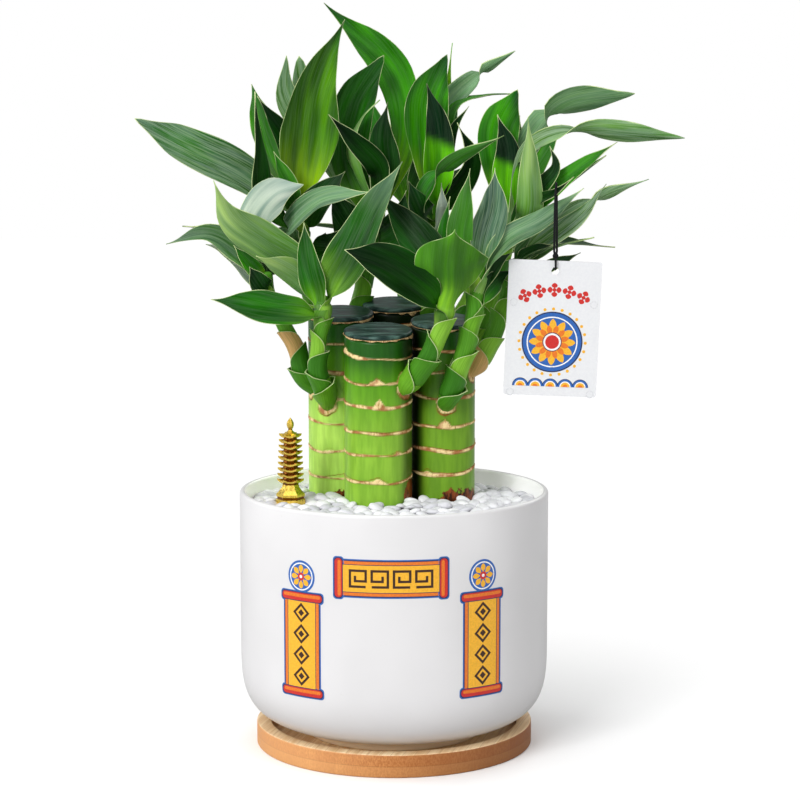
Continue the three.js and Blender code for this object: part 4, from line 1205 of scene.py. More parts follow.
def make_peel(name, cane, rand, order):
    """The frayed brown skin just under the wax."""
    piece = Piece(f"peel_{name}")
    fray = ripples(rand, 18, PEEL_FRAY[name])
    top, under = [], []
    for row in range(PEEL_ROWS + 1):
        share = row / PEEL_ROWS
        upper, lower = [], []
        for k in range(CANE_SIDES * 2 + 1):
            angle = math.pi * k / CANE_SIDES
            z = cane["top"] - WAX_THICKNESS + 0.3 - share * max(0.12, 0.5 + fray(angle))
            out = cane["radius"] - 0.1 + 0.3 * share * abs(math.sin(5 * angle + order))
            upper.append(on_cane(cane, angle, out + 0.08, z))
            lower.append(on_cane(cane, angle, out - 0.15, z))
        top.append(upper)
        under.append(lower)
    piece.shell(under, top)
    return dress(piece.make([PEEL]), "cane")


for order, (name, cane) in enumerate(CANES.items()):
    make_cane(name, cane, order)
    wax_rand = random.Random(90 + order)
    make_wax(name, cane, wax_rand)
    make_peel(name, cane, wax_rand, order)


# Pot, saucer and soil
SAUCER_RADIUS = 67.3
SAUCER_THICKNESS = 11
SAUCER_RECESS = 60
SAUCER_FLOOR = 6
SAUCER_ROUNDING = 0.8
STRIPS_PER_METRE = 190.0
CAD_POT_RADIUS = 75
POT_RADIUS = 74.78
POT_RIM = 125
POT_WALL = 3.2
POT_UNDERSIDE = 10.75
POT_FLOOR = 15
POT_FOOT = 44
POT_CORNER_MIDDLE = 25
POT_CORNER_TOP = 52.5
POT_CORNER_POWER = 3.69
ROUND_SIDES = 240


def turned(piece, profile):
    """A body of revolution. The profile runs from the axis back to the axis."""
    rings = []
    for radius, z in profile:
        radius = max(radius, 0.01)
        rings.append([(radius * math.sin(turn), -radius * math.cos(turn), z) for turn in turns(ROUND_SIDES)])
    piece.tube(rings)


def pot_corner(outer, floor, count):
    """The round corner between a floor and a wall."""
    points = []
    for i in range(count + 1):
        angle = i / count * math.pi / 2
        reach = math.sin(angle) ** (2 / POT_CORNER_POWER)
        up = 1 - max(0, math.cos(angle)) ** (2 / POT_CORNER_POWER)
        points.append((POT_CORNER_MIDDLE + (outer - POT_CORNER_MIDDLE) * reach,
                       floor + (POT_CORNER_TOP - floor) * up))
    return points


def pot_radius_at(z):
    """The pot's outer radius at a height on its wall."""
    if z >= POT_CORNER_TOP:
        return POT_RADIUS
    down = (POT_CORNER_TOP - z) / (POT_CORNER_TOP - POT_UNDERSIDE)
    reach = (1 - down**POT_CORNER_POWER) ** (1 / POT_CORNER_POWER)
    return POT_CORNER_MIDDLE + (POT_RADIUS - POT_CORNER_MIDDLE) * reach


def glaze_material():
    """White glaze with faint clouds and specks, painted light inside, painted shade low down, a warm cream
    foot.
    """
    look = Look("glaze")
    place = look.place()
    cloud = look.noise(place, 22, 2.0)
    speck = look.noise(place, 700, 1.0)
    x, y, z = look.parts(place)
    # Painted light: inside the pot the glaze is made whiter.
    painted_light_inside = look.times(look.span(look.from_axis(x, y), 0.0722, 0.0728, 1.0, 0.0), look.span(z, 0.055, 0.06))
    base = look.mix(look.span(cloud, 0.3, 0.7), rgb(217, 216, 217), rgb(222, 221, 222))
    base = look.mix(painted_light_inside, base, rgb(254, 254, 254))
    colour = look.mix(look.span(speck, 0.74, 0.8, 0.0, 0.25), base, rgb(205, 203, 198))
    # Painted shade: darker towards the bottom.
    colour = look.mix(look.span(z, 0.012, 0.04, 0.4, 0.0), colour, rgb(190, 185, 179))
    # The foot in a warm cream: partly its unglazed clay, partly painted light.
    colour = look.mix(look.span(z, 0.0118, 0.014, 1.0, 0.0), colour, rgb(255, 236, 204))
    look.bump(cloud, 0.12, 0.002)
    # Painted light: the inside of the pot glows a little.
    return look.set(colour=colour, rough=0.3, coat=0.3, coat_rough=0.24,
                    glow=look.mix(painted_light_inside, rgb(0, 0, 0), rgb(255, 248, 250)), glow_strength=0.13)


def make_pot():
    piece = Piece("pot_glazed")
    inner, half_wall = POT_RADIUS - POT_WALL, POT_WALL / 2
    outside = [point for point in pot_corner(POT_RADIUS, POT_UNDERSIDE, 40) if point[0] > POT_FOOT + 1]
    rim = []
    for k in range(1, 16):
        angle = math.pi * k / 16
        rim.append((POT_RADIUS - half_wall + half_wall * math.cos(angle),
                    POT_RIM - half_wall + half_wall * math.sin(angle)))
    foot = [(0, POT_UNDERSIDE - 2), (POT_FOOT - 5, POT_UNDERSIDE - 2), (POT_FOOT - 5, SAUCER_FLOOR + 0.4),
            (POT_FOOT - 4.6, SAUCER_FLOOR), (POT_FOOT - 1, SAUCER_FLOOR), (POT_FOOT, SAUCER_FLOOR + 1),
            (POT_FOOT, POT_UNDERSIDE)]
    inside = reversed(pot_corner(inner, POT_FLOOR, 30))
    turned(piece, [*foot, *outside, (POT_RADIUS, 90), *rim, (inner, 90), *inside, (0, POT_FLOOR)])
    return dress(piece.make([glaze_material()], sharp=50), "glaze", "pot")


def saucer_material():
    """Glued strips of bamboo: long fibres on top, and their darker cut ends round the edge. The edge has
    painted light on its left and painted shade on its right.
    """
    look = Look("bamboo_wood")
    place = look.place()
    x, _, height = look.parts(place)
    along_strips = look.stretch(place, (1, 1, 1), (0, 0, math.radians(-75)))
    strips = look.times(look.parts(along_strips)[1], STRIPS_PER_METRE)
    chance = look.new("ShaderNodeTexWhiteNoise", noise_dimensions="1D")
    look.link(look.math("FLOOR", strips), chance.inputs["W"])
    shade = look.times(chance.outputs["Value"], 0.4)
    fibres = look.noise(look.stretch(along_strips, (18, 420, 60)), 1.0, 4.0, 0.6)
    ends = look.noise(look.stretch(place, (1, 1, 0.5)), 1500, 3.0, 0.6)
    top = look.mix(look.span(fibres, 0.35, 0.65), rgb(224, 186, 138), rgb(250, 226, 186))
    top = look.mix(shade, top, rgb(212, 166, 112))
    seam = look.math("ABSOLUTE", look.math("SUBTRACT", look.math("FRACT", strips), 0.5))
    top = look.mix(look.span(seam, 0.46, 0.5, 0.0, 0.5), top, rgb(160, 108, 60))
    side = look.mix(look.span(ends, 0.34, 0.66), rgb(176, 106, 50), rgb(203, 137, 76))
    side = look.mix(shade, side, rgb(166, 92, 38))
    side = look.mix(look.span(height, 0.0051, 0.0056, 0.28, 0.0), side, rgb(224, 168, 106))
    from_joint = look.math("ABSOLUTE", look.math("SUBTRACT", height, 0.0054))
    side = look.mix(look.span(from_joint, 0.0001, 0.0003, 0.3, 0.0), side, rgb(120, 70, 30))
    # Painted light and shade: the edge is lighter on the left and darker on the right.
    side = look.mix(look.span(x, -0.05, 0.0, 0.4, 0.0), side, rgb(250, 190, 128))
    side = look.mix(look.span(x, -0.02, 0.055, 0.0, 0.6), side, rgb(112, 62, 26))
    facing = look.parts(look.new("ShaderNodeNewGeometry").outputs["True Normal"])[2]
    look.bump(look.plus(fibres, look.times(ends, 0.5)), 0.3, 0.0003)
    return look.set(colour=look.mix(look.span(facing, 0.5, 0.8), side, top),
                    rough=look.span(ends, 0.3, 0.7, 0.42, 0.6), specular=0.4)


def rounded(radius, z, start):
    """A quarter of a circle in the saucer's section, from an angle on."""
    angles = [start + math.pi / 8 * k for k in range(5)]
    return [(radius + SAUCER_ROUNDING * math.cos(angle), z + SAUCER_ROUNDING * math.sin(angle))
            for angle in angles]


def make_saucer():
    piece = Piece("saucer_bamboo")
    rim, upper = SAUCER_RADIUS - SAUCER_ROUNDING, SAUCER_THICKNESS - SAUCER_ROUNDING
    profile = [(0, 0), (30, 0), *rounded(rim, SAUCER_ROUNDING, -math.pi / 2), *rounded(rim, upper, 0),
               *rounded(SAUCER_RECESS + SAUCER_ROUNDING, upper, math.pi / 2),
               (SAUCER_RECESS, SAUCER_FLOOR + 0.4), (SAUCER_RECESS - 0.4, SAUCER_FLOOR), (30, SAUCER_FLOOR),
               (0, SAUCER_FLOOR)]
    turned(piece, profile)
    return dress(piece.make([saucer_material()], sharp=40), "bamboo_wood", "saucer")


make_pot()
make_saucer()
restyle("soil", grained("soil", rgb(28, 22, 18), rgb(84, 66, 50), 420, (0.9, 0.001), 5.0, 0.7, rough=0.95))


# Pebbles: smooth pale stones, in two layers on the soil, set out in offset rows with some play
PAGODA_X, PAGODA_Y = -50, -5
BED_EDGE = 114.5
BED_MIDDLE = 117
BED_WALL = CAD_POT_RADIUS - POT_WALL - 0.6
BED_REACH = 71.8
ROW_PITCH = 0.866


def ball_form(subdivisions):
    form = bmesh.new()
    bmesh.ops.create_icosphere(form, subdivisions=subdivisions, radius=1)
    points = [np.array(corner.co) for corner in form.verts]
    faces = [tuple(corner.index for corner in face.verts) for face in form.faces]
    form.free()
    return points, faces


def pebble_material():
    look = Look("pebble")
    place = look.place()
    veins = look.noise(place, 260, 3.0, 0.6)
    fine = look.noise(place, 1600, 2.0)
    tint = look.colour("tint")
    look.bump(look.plus(veins, look.times(fine, 0.3)), 0.25, 0.0003)
    colour = look.mix(look.span(veins, 0.35, 0.7, 0.0, 0.35), tint, look.shade(tint, (0.8, 0.8, 0.83)))
    return look.set(colour=colour, rough=0.55, specular=0.4)


def draw_stone(rand):
    """The chance part of a pebble, drawn in a fixed order."""
    return dict(
        play=(rand.uniform(-1.3, 1.3), rand.uniform(-1.3, 1.3)),
        size=rand.uniform(3.6, 5.0),
        flat=rand.uniform(0.48, 0.66),
        narrow=rand.uniform(0.7, 0.95),
        turn=rand.uniform(0, math.pi),
        lean=(rand.uniform(-0.35, 0.35), rand.uniform(-0.35, 0.35)),
        bumps=[(unit([rand.gauss(0, 1) for _ in range(3)]), rand.uniform(-0.1, 0.14)) for _ in range(4)],
        shade=rand.uniform(0.0, 1.0),
        lift=rand.uniform(-0.5, 0.9),
    )


def bed_place(x, y, size):
    """Where a pebble lies, moved in from the wall, and how far from the axis. None if it has no room."""
    away = math.hypot(x, y)
    if away > BED_WALL + 1.5:
        return None
    if away > BED_WALL - size * 0.85:
        reach = BED_WALL - size * 0.9
        x, y, away = x * reach / away, y * reach / away, reach
    for cane in CANES.values():
        if math.hypot(x - cane["x"], y - cane["y"]) < cane["radius"] + size * 0.45:
            return None
    return x, y, away


def add_stone(piece, form, stone, x, y, height):
    points, faces = form
    size, lean = stone["size"], stone["lean"]
    scale = np.array([size, size * stone["narrow"], size * stone["flat"]])
    c, s = math.cos(stone["turn"]), math.sin(stone["turn"])
    tint = mix(rgb(202, 202, 208), rgb(240, 240, 243), stone["shade"])
    made, tints = [], []
    for point in points:
        swell = 1 + sum(depth * np.dot(point, way) ** 3 for way, depth in stone["bumps"])
        q = point * scale * swell
        u, v = c * q[0] - s * q[1], s * q[0] + c * q[1]
        made.append((x + u, y + v, height + q[2] + lean[0] * u + lean[1] * v))
        # Painted shade: each stone is darker over its lower half, down in the gaps between stones.
        tints.append(tint * (0.22 + 0.78 * smooth(-0.5, 0.25, point[2])))
    piece.add(made, faces, 0, tint=tints)


def make_pebbles():
    rand = random.Random(11)
    piece = Piece("pebbles_stones", (), ("tint",))
    for layer, spacing, form in ((0, 6.8, ball_form(2)), (1, 6.9, ball_form(3))):
        under = 1 - layer
        rows = int(BED_WALL / (spacing * ROW_PITCH)) + 1
        for row in range(-rows, rows + 1):
            for column in range(-rows - 2, rows + 3):
                stone = draw_stone(rand)
                x = (column + (row % 2) / 2 + 0.5 * under) * spacing + stone["play"][0]
                y = (row + 0.33 * under) * spacing * ROW_PITCH + stone["play"][1]
                found = bed_place(x, y, stone["size"])
                if found is None:
                    continue
                x, y, away = found
                by_pagoda = layer == 1 and math.hypot(x - PAGODA_X, y - PAGODA_Y) < 7
                lift = -1.6 if by_pagoda else stone["lift"]
                dome = BED_MIDDLE - (BED_MIDDLE - BED_EDGE) * (away / BED_REACH) ** 2
                add_stone(piece, form, stone, x, y, dome + 1.2 + lift - 2.6 * under)
    return dress(piece.make([pebble_material()]), "pebble", "pebbles")


make_pebbles()


# The gilt pagoda: a six-sided tower. Each level is a radius, a height, the rise of its corners and a colour.
GOLD = rgb(255, 222, 104)
GOLD_SHADED = rgb(128, 74, 16)
PAGODA_FOOT = 118
PAGODA_TIERS = 9
PAGODA_PITCH = 2.76
PAGODA_SIDES = 24
PAGODA_BASE = [
    (0.05, 0, 0, GOLD), (6.7, 0, 0, GOLD), (7.1, 0.4, 0, GOLD), (7.1, 2.6, 0, GOLD), (6.5, 3, 0, GOLD_SHADED),
    (6.5, 3.7, 0, GOLD_SHADED), (7.0, 4.2, 0, GOLD), (6.9, 5.2, 0, GOLD), (5.6, 6.6, 0, GOLD),
    (4.2, 8.4, 0, GOLD), (3.9, 9.6, 0, GOLD),
]
PAGODA_TIER = [
    (3.8, 0, 0, GOLD_SHADED), (3.8, 0.7, 0, GOLD_SHADED), (4.8, 0.75, 0.6, GOLD_SHADED),
    (5.55, 0.85, 0.95, GOLD), (5.6, 1.7, 1.05, GOLD), (4.7, 2.15, 0.5, GOLD), (3.9, 2.65, 0, GOLD),
]
PAGODA_SPIRE = [
    (2.5, 35.0, 0, GOLD), (1.2, 36.0, 0, GOLD), (0.9, 36.7, 0, GOLD_SHADED), (1.4, 37.5, 0, GOLD),
    (1.75, 38.6, 0, GOLD), (1.7, 39.7, 0, GOLD), (1.2, 40.9, 0, GOLD), (0.5, 41.8, 0, GOLD),
    (0.04, 42.4, 0, GOLD),
]


def gilt_material():
    look = Look("gilt")
    wear = look.noise(look.place(), 700, 3.0, 0.6)
    tint = look.colour("tint")
    look.bump(wear, 0.2, 0.0002)
    return look.set(colour=look.mix(look.span(wear, 0.3, 0.7), look.shade(tint, (0.8, 0.76, 0.6)), tint),
                    metal=1.0, rough=look.span(wear, 0.3, 0.7, 0.22, 0.36))


def six_sided(piece, levels):
    """Rings of a six-sided tower, whose corners may rise above the middles of its sides."""
    rings, tints = [], []
    for radius, z, lift, tint in levels:
        ring = []
        for k, turn in enumerate(turns(PAGODA_SIDES)):
            angle = turn + math.pi / 6
            part = (k % 4) / 4
            near = abs(part - 0.5) * 2
            flat = math.cos(math.pi / 6) / math.cos(math.pi / 6 - part * math.pi / 3) if part else 1
            rise = lift * near**3
            reach = radius * flat * (1 + 0.16 * rise)
            ring.append((PAGODA_X + reach * math.sin(angle), PAGODA_Y - reach * math.cos(angle), z + rise))
            tints.append(tint)
        rings.append(ring)
    piece.tube(rings, tint=tints)


def make_pagoda():
    piece = Piece("pagoda_gilt", (), ("tint",))
    levels = list(PAGODA_BASE)
    for tier in range(PAGODA_TIERS):
        base = 9.9 + tier * PAGODA_PITCH
        shrink = 1 - 0.02 * tier
        levels += [(radius * shrink, base + z, lift, tint) for radius, z, lift, tint in PAGODA_TIER]
    levels += PAGODA_SPIRE
    six_sided(piece, [(radius, PAGODA_FOOT + z, lift, tint) for radius, z, lift, tint in levels])
    return dress(piece.make([gilt_material()], sharp=24), "gilt", "pagoda")


make_pagoda()


# Flat shapes for print: outlines in millimetres, filled and given a little thickness
def filled(outlines, thickness):
    """A closed slab over outlines, the inner ones being holes."""
    data = bpy.data.curves.new("outline", "CURVE")
    data.dimensions = "2D"
    data.fill_mode = "BOTH"
    data.extrude = thickness / 2
    for outline in outlines:
        line = data.splines.new("POLY")
        line.points.add(len(outline) - 1)
        for point, (x, y) in zip(line.points, outline):
            point.co = (x, y, 0, 1)
        line.use_cyclic_u = True
    shape = bpy.data.objects.new("outline", data)
    bpy.context.collection.objects.link(shape)
    bpy.context.view_layer.update()
    mesh = bpy.data.meshes.new_from_object(shape.evaluated_get(bpy.context.evaluated_depsgraph_get()))
    bpy.data.objects.remove(shape)
    bpy.data.curves.remove(data)
    return mesh


def disc(x, y, radius, count=32):
    return [(x + radius * math.cos(angle), y + radius * math.sin(angle)) for angle in turns(count)]


def oblong(x, y, width, height, corner=0.0):
    """A rectangle round a point, with round corners if their radius is given."""
    if not corner:
        corners = ((-1, -1), (1, -1), (1, 1), (-1, 1))
        return [(x + side * width / 2, y + rise * height / 2) for side, rise in corners]
    points = []
    for k, (side, rise) in enumerate(((1, -1), (1, 1), (-1, 1), (-1, -1))):
        for step in range(7):
            angle = math.pi / 2 * (k - 1) + math.pi / 12 * step
            points.append((x + side * (width / 2 - corner) + corner * math.cos(angle),
                           y + rise * (height / 2 - corner) + corner * math.sin(angle)))
    return points


def band(points, width):
    """The outline of a line of even width along points, with mitred corners."""
    points = [np.array(point, float) for point in points]
    ways = [unit(after - before) for before, after in zip(points, points[1:])]
    left, right = [], []
    for here, behind, ahead in zip(points, [ways[0], *ways], [*ways, ways[-1]]):
        x, y = ahead + behind
        normal = unit([-y, x])
        size = width / 2 / max(0.4, float(np.dot(normal, [-ahead[1], ahead[0]])))
        left.append(tuple(here + normal * size))
        right.append(tuple(here - normal * size))
    return left + right[::-1]


def key_square(x, y, size, turn):
    """A square spiral, as in a fret border. Turn is 1 or, for its mirror image, -1."""
    s = size / 2
    path = [(-s, -s), (s, -s), (s, s), (-s, s), (-s, -s * 0.3), (s * 0.35, -s * 0.3), (s * 0.35, s * 0.36)]
    return [(x + turn * a, y + b) for a, b in path]


def petals(x, y, inner, outer, count, turn=0.0):
    """Pointed petals round a centre, one outline for each."""
    half = math.pi / count * 0.86
    found = []
    for even in turns(count):
        middle = even + turn
        outline = []
        for side, steps in ((1, range(13)), (-1, range(11, 0, -1))):
            for step in steps:
                share = step / 12
                angle = middle + side * half * math.sin(math.pi * share) ** 0.8
                reach = inner + (outer - inner) * share
                outline.append((x + reach * math.cos(angle), y + reach * math.sin(angle)))
        found.append(outline)
    return found


INKS = {
    "gold": rgb(246, 182, 44),
    "orange": rgb(232, 120, 30),
    "red": rgb(206, 40, 34),
    "blue": rgb(40, 98, 178),
    "navy": rgb(28, 40, 84),
    "white": rgb(246, 246, 246),
    "brown": rgb(56, 28, 12),
    "faint": rgb(222, 223, 226),
}
INK_THICKNESS = 0.02
INK_BASE = 0.04


def ink_material(name, colour):
    darker = tuple(level * 0.86 for level in colour)
    return grained(f"ink_{name}", darker, colour, 1400, (0.08, 0.0001), low=0.35, high=0.65, rough=0.32,
                   specular=0.5)


INK = {name: ink_material(name, colour) for name, colour in INKS.items()}


def slice_mesh(mesh, step):
    """Cuts a flat mesh in small squares, so that it can follow a round wall."""
    form = bmesh.new()
    form.from_mesh(mesh)
    bmesh.ops.remove_doubles(form, verts=form.verts, dist=1e-5)
    for axis, normal in enumerate(((1, 0, 0), (0, 1, 0))):
        low = min(corner.co[axis] for corner in form.verts)
        high = max(corner.co[axis] for corner in form.verts)
        for k in range(math.ceil(low / step), math.floor(high / step) + 1):
            geometry = form.verts[:] + form.edges[:] + form.faces[:]
            place = tuple(k * step * part for part in normal)
            bmesh.ops.bisect_plane(form, geom=geometry, plane_co=place, plane_no=normal)
    form.to_mesh(mesh)
    form.free()


def print_shapes(name, shapes, bend, slot, strips=None):
    """One piece for each ink. A shape is (ink, outlines, layer). Bend takes (across, up, out) to a place."""
    by_ink = {}
    for ink, outlines, layer in shapes:
        by_ink.setdefault(ink, []).append((outlines, layer))
    for ink, group in by_ink.items():
        piece = Piece(f"{name}_{ink}")
        for outlines, layer in group:
            mesh = filled(outlines, INK_THICKNESS)
            if strips:
                slice_mesh(mesh, strips)
            height = INK_BASE + INK_THICKNESS * (layer + 0.5)
            points = [bend(corner.co.x, corner.co.y, corner.co.z + height) for corner in mesh.vertices]
            piece.add(points, [tuple(face.vertices) for face in mesh.polygons])
            bpy.data.meshes.remove(mesh)
        dress(piece.make([INK[ink]], even=False), slot)


# Print on the pot: scroll panels with a fret or lozenges, and small rosettes
ROLLER = 3.6
ROLLER_CORNER = 1.7
STRIP_CORNER = 0.7
POT_SQUARES = 2.0
LEFT_SCROLL = math.radians(-35)
RIGHT_SCROLL = math.radians(33.2)
MIDDLE_SCROLL = math.radians(-1.1)


def on_pot(angle, height):
    def bend(x, y, out):
        z = height + y
        turn = angle + x / CAD_POT_RADIUS
        radius = pot_radius_at(z) + out
        return (radius * math.sin(turn), -radius * math.cos(turn), z)
    return bend


def grown(outline, by):
    """An outline that lies about a millimetre or less outside another one round the same centre."""
    cx = sum(x for x, _ in outline) / len(outline)
    cy = sum(y for _, y in outline) / len(outline)
    return [(x + by * (1 if x > cx else -1), y + by * (1 if y > cy else -1)) for x, y in outline]


def lozenge(y, reach):
    return [(0, y - reach), (reach, y), (0, y + reach), (-reach, y)]


def scroll(field, middle, edges, motifs):
    """A scroll with a rim and brown motifs. Each edge has a line along one side of the scroll, a roller at
    one end and the strip of light on that roller."""
    shapes = [("blue", [grown(field, 1.0)], 0), ("navy", [grown(field, 0.45)], 1), ("orange", [field], 2),
              ("gold", [middle], 3)]
    for line, roller, strip in edges:
        shapes += [("navy", [band(line, 0.3)], 4), ("blue", [grown(roller, 0.9)], 2),
                   ("navy", [grown(roller, 0.4)], 5), ("red", [roller], 6), ("orange", [strip], 7)]
    return shapes + [("brown", outlines, 4) for outlines in motifs]


def upright_scroll():
    width, height = 19.4, 45
    edges, motifs = [], []
    for side in (-1, 1):
        x, y = side * (width / 2 - 1.7), side * height / 2
        roller = oblong(0, y, width + 3.4, ROLLER, ROLLER_CORNER)
        strip = oblong(0, y + 0.5, width + 1.6, ROLLER * 0.42, STRIP_CORNER)
        edges.append(([(x, -height / 2), (x, height / 2)], roller, strip))
    for k in range(4):
        y = (k - 1.5) * 10
        motifs += [[lozenge(y, 4.7), lozenge(y, 3.1)], [lozenge(y, 1.7)]]
    return scroll(oblong(0, 0, width, height), oblong(0, 0, width - 3.4, height), edges, motifs)


def level_scroll():
    width, height = 46, 16
    edges = []
    for side in (-1, 1):
        y = side * (height / 2 - 1.6)
        roller = oblong(side * (width / 2 + 1.6), 0, ROLLER, height + 2.2, ROLLER_CORNER)
        strip = oblong(side * (width / 2 + 1.2), 0, ROLLER * 0.42, height + 0.6, STRIP_CORNER)
        edges.append(([(-width / 2, y), (width / 2, y)], roller, strip))
    motifs = [[band(key_square((k - 1.5) * 10.2, 0, 7.4, 1 if k % 2 else -1), 1.15)] for k in range(4)]
    return scroll(oblong(0, 0, width, height), oblong(0, 0, width, height - 3.2), edges, motifs)


def rosette(size):
    shapes = [("blue", [disc(0, 0, size, 48)], 0), ("white", [disc(0, 0, size * 0.86, 48)], 1),
              ("blue", [disc(0, 0, size * 0.78, 48)], 2)]
    shapes += [("gold", [outline], 3) for outline in petals(0, 0, size * 0.2, size * 0.74, 8)]
    return shapes + [("red", [disc(0, 0, size * 0.24)], 4), ("white", [disc(0, 0, size * 0.1)], 5)]


for name, shapes, turn, height in (
    ("scroll_left", upright_scroll(), LEFT_SCROLL, 62.2),
    ("scroll_right", upright_scroll(), RIGHT_SCROLL, 63.0),
    ("scroll_middle", level_scroll(), MIDDLE_SCROLL, 95.6),
    ("rosette_left", rosette(7.6), LEFT_SCROLL, 94.2),
    ("rosette_right", rosette(7.6), RIGHT_SCROLL, 95),
):
    print_shapes(name, shapes, on_pot(turn, height), "glaze", POT_SQUARES)


# The card tag, its print, its knot and the cord
HOLE = (77, -6, 231)
HOLE_RADIUS = 2
TAG_ABOVE_HOLE = 5
TAG_THICKNESS = 0.8
TAG_TILT = math.radians(2.2)
MEDAL_Y = -34
CORD_HALF = 0.55
KNOT_PLAY = 0.6
CORD_SIDES = 12


def on_tag(x, y, out):
    c, s = math.cos(TAG_TILT), math.sin(TAG_TILT)
    return (HOLE[0] + c * x + s * y, HOLE[1] - TAG_THICKNESS / 2 - out, HOLE[2] - s * x + c * y)


def corner_rings():
    return [("faint", [disc(side * 19.2, y, 1.9, 28), disc(side * 19.2, y, 1.35, 28)], 0)
            for side in (-1, 1) for y in (-15.5, -58.6)]


def flower_arc():
    """Five small four-petalled flowers on an arc above the medal."""
    shapes = []
    for k in range(5):
        angle = math.radians(90 - (k - 2) * 13)
        x, y = 32 * math.cos(angle), -41 + 32 * math.sin(angle)
        shapes += [("red", [outline], 0) for outline in petals(x, y, 0.7, 3.4, 4, angle)]
        shapes.append(("red", [disc(x, y, 0.9, 20)], 0))
    return shapes


def medal():
    """A rosette of twelve gold and twelve orange petals in a ring of dots."""
    shapes = [("gold", [disc(x, y, 0.75, 16)], 0) for x, y in disc(0, MEDAL_Y, 15.9, 24)]
    shapes += [("navy", [disc(0, MEDAL_Y, 14.6, 64)], 0), ("blue", [disc(0, MEDAL_Y, 14.0, 64)], 1),
               ("white", [disc(0, MEDAL_Y, 12.2, 64), disc(0, MEDAL_Y, 11.6, 64)], 2)]
    shapes += [("gold", [outline], 2) for outline in petals(0, MEDAL_Y, 3.4, 11.2, 12)]
    shapes += [("orange", [outline], 3) for outline in petals(0, MEDAL_Y, 2.6, 8.2, 12, math.pi / 12)]
    return shapes + [("navy", [disc(0, MEDAL_Y, 4.6, 40)], 4), ("white", [disc(0, MEDAL_Y, 4.2, 40)], 5),
                     ("red", [disc(0, MEDAL_Y, 3.3, 40)], 6)]


def scallops():
    """Five half rounds in a row under the medal, one colour within the other."""
    shapes = []
    for k in range(5):
        bands = (("navy", 3.9), ("blue", 3.6), ("white", 2.7), ("gold", 2.2), ("orange", 1.2))
        for layer, (ink, radius) in enumerate(bands):
            angles = [math.pi * step / 20 for step in range(21)]
            arc = [((k - 2) * 7.2 + radius * math.cos(angle), -55.5 + radius * math.sin(angle))
                   for angle in angles]
            shapes.append((ink, [arc], layer))
    return shapes


def cord_material():
    look = Look("cord")
    wave = look.new("ShaderNodeTexWave", wave_type="BANDS", bands_direction="DIAGONAL")
    look.link(look.place(), wave.inputs["Vector"])
    wave.inputs["Scale"].default_value = 900
    fibre = wave.outputs["Fac"]
    look.bump(fibre, 0.6, 0.0002)
    return look.set(colour=look.mix(fibre, rgb(6, 6, 8), rgb(34, 34, 38)), rough=0.8, specular=0.2)


CORD = cord_material()


def tube_along(piece, points, radius, steps):
    frames = frames_along(Route(points), steps)
    piece.tube([round_about(centre, radius, normal, other, CORD_SIDES)
                for centre, _, normal, other in frames])


def make_knot():
    """The loop through the card's hole, the turns wound round the cord's ends, and those two ends."""
    piece = Piece("cord_knot_tied")
    x, y, z = HOLE
    low = z + HOLE_RADIUS - CORD_HALF - KNOT_PLAY
    high = z + TAG_ABOVE_HOLE + CORD_HALF + KNOT_PLAY
    half = (high - low) / 2
    angles = [2 * math.pi * k / 40 + 0.01 for k in range(41)]
    loop = [(x, y + 2 * math.sin(angle), low + half + half * math.cos(angle)) for angle in angles]
    tube_along(piece, loop, 0.52, 60)
    centre = np.array([x, y - 0.2, high + 1.1])
    for turn, lean in ((0.0, 0.3), (1.0, -0.5), (2.1, 0.45)):
        wound = []
        for k in range(33):
            angle = 2 * math.pi * k / 32
            c, s = math.cos(angle), math.sin(angle)
            flat = np.array([c, s * math.cos(turn), s * math.sin(turn)])
            wound.append(centre + 0.92 * flat + np.array([0, 0, 0.2 * lean]))
        tube_along(piece, wound, 0.5, 40)
    for end, side in ((CORD_ROUTE[0], -0.3), (CORD_ROUTE[-1], 0.3)):
        tube_along(piece, [centre + np.array([side, 0, 0]), np.array(end) + np.array([0, 0, 0.3])], 0.54, 8)
    return dress(piece.make([CORD]), "cord", "cord_knot")


restyle("tag", grained("card", rgb(222, 223, 226), rgb(226, 227, 229), 900, (0.04, 0.0001), 3.0, rough=0.35,
                       coat=0.2))
print_shapes("tag_print", corner_rings() + flower_arc() + medal() + scallops(), on_tag, "card")
knot = make_knot()
cord.data.materials.append(CORD)
dress(cord, "cord", "tag_cord")


# Floor and light. The floor is shaded near the pot, and as bright as the backdrop further away.
FLOOR_NEAR = 0.068
FLOOR_FAR = 0.3
FLOOR_HALF = 4000
SOFT_BOX_WAY = (-0.5, -0.5, 0.71)
WORLD_DIM = 0.52
WORLD_BRIGHT = 0.84


def floor_material():
    look = Look("floor")
    x, y, _ = look.parts(look.place())
    far = look.span(look.from_axis(x, y), FLOOR_NEAR, FLOOR_FAR)
    seen = look.new("ShaderNodeLightPath").outputs["Is Camera Ray"]
    seen_colour = look.mix(far, (0.97, 0.97, 0.97), (0, 0, 0))
    return look.set(colour=look.mix(seen, (0.52, 0.52, 0.52), seen_colour), rough=0.8, specular=0.1,
                    glow=(1, 1, 1), glow_strength=look.times(far, seen))


def make_floor():
    piece = Piece("floor")
    piece.add([(x, y, 0) for x, y in oblong(0, 0, 2 * FLOOR_HALF, 2 * FLOOR_HALF)], [(0, 1, 2, 3)])
    piece.make([floor_material()], even=False)


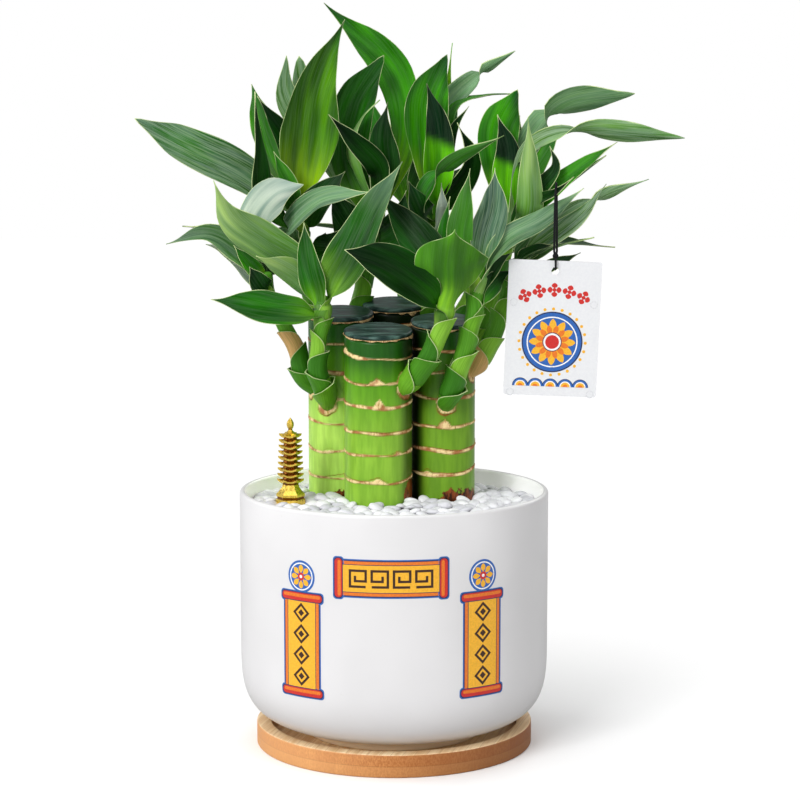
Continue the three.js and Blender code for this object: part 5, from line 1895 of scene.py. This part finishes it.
def make_world():
    """Soft light, brighter from one side. The camera sees an even white instead."""
    world = bpy.data.worlds.new("studio")
    bpy.context.scene.world = world
    world.use_nodes = True
    tree = world.node_tree
    tree.nodes.clear()
    new, link = tree.nodes.new, tree.links.new
    way = new("ShaderNodeTexCoord")
    toward = new("ShaderNodeVectorMath")
    toward.operation = "DOT_PRODUCT"
    link(way.outputs["Generated"], toward.inputs[0])
    toward.inputs[1].default_value = SOFT_BOX_WAY
    glow = new("ShaderNodeMapRange")
    glow.interpolation_type = "SMOOTHSTEP"
    link(toward.outputs["Value"], glow.inputs["Value"])
    levels = {"From Min": -0.2, "From Max": 0.95, "To Min": WORLD_DIM, "To Max": WORLD_BRIGHT}
    for name, level in levels.items():
        glow.inputs[name].default_value = level
    lit = new("ShaderNodeBackground")
    link(glow.outputs[0], lit.inputs["Strength"])
    seen = new("ShaderNodeBackground")
    seen.inputs["Color"].default_value = (1, 1, 1, 1)
    rays = new("ShaderNodeLightPath")
    both = new("ShaderNodeMixShader")
    link(rays.outputs["Is Camera Ray"], both.inputs[0])
    link(lit.outputs[0], both.inputs[1])
    link(seen.outputs[0], both.inputs[2])
    link(both.outputs[0], new("ShaderNodeOutputWorld").inputs["Surface"])


def add_light(name, kind, way, power, **settings):
    """A light whose way points from the object to it."""
    data = bpy.data.lights.new(name, kind)
    data.energy = power
    for key, value in settings.items():
        setattr(data, key, value)
    light = bpy.data.objects.new(name, data)
    light.rotation_euler = (-Vector(way)).to_track_quat("-Z", "Y").to_euler()
    bpy.context.collection.objects.link(light)
    return light


make_floor()
make_world()
for name, way, power, spread in (
    ("key", (-0.55, -0.9, 0.55), 1.5, 25),
    ("top", (-0.2, -0.15, 1), 0.6, 50),
    ("side", (-1, 0.3, 0.35), 0.5, 20),
    ("rim", (0.4, 0.8, 0.6), 0.4, 30),
    ("fill", (0.9, -0.5, 0.3), 0.42, 40),
):
    add_light(name, "SUN", way, power, angle=math.radians(spread))
glint = add_light("glint", "AREA", (-0.7, -0.9, 0.7), 3, shape="RECTANGLE", size=0.25, size_y=0.8)
glint.location = (-0.7, -0.9, 0.9)
bpy.context.scene.view_settings.view_transform = "Standard"
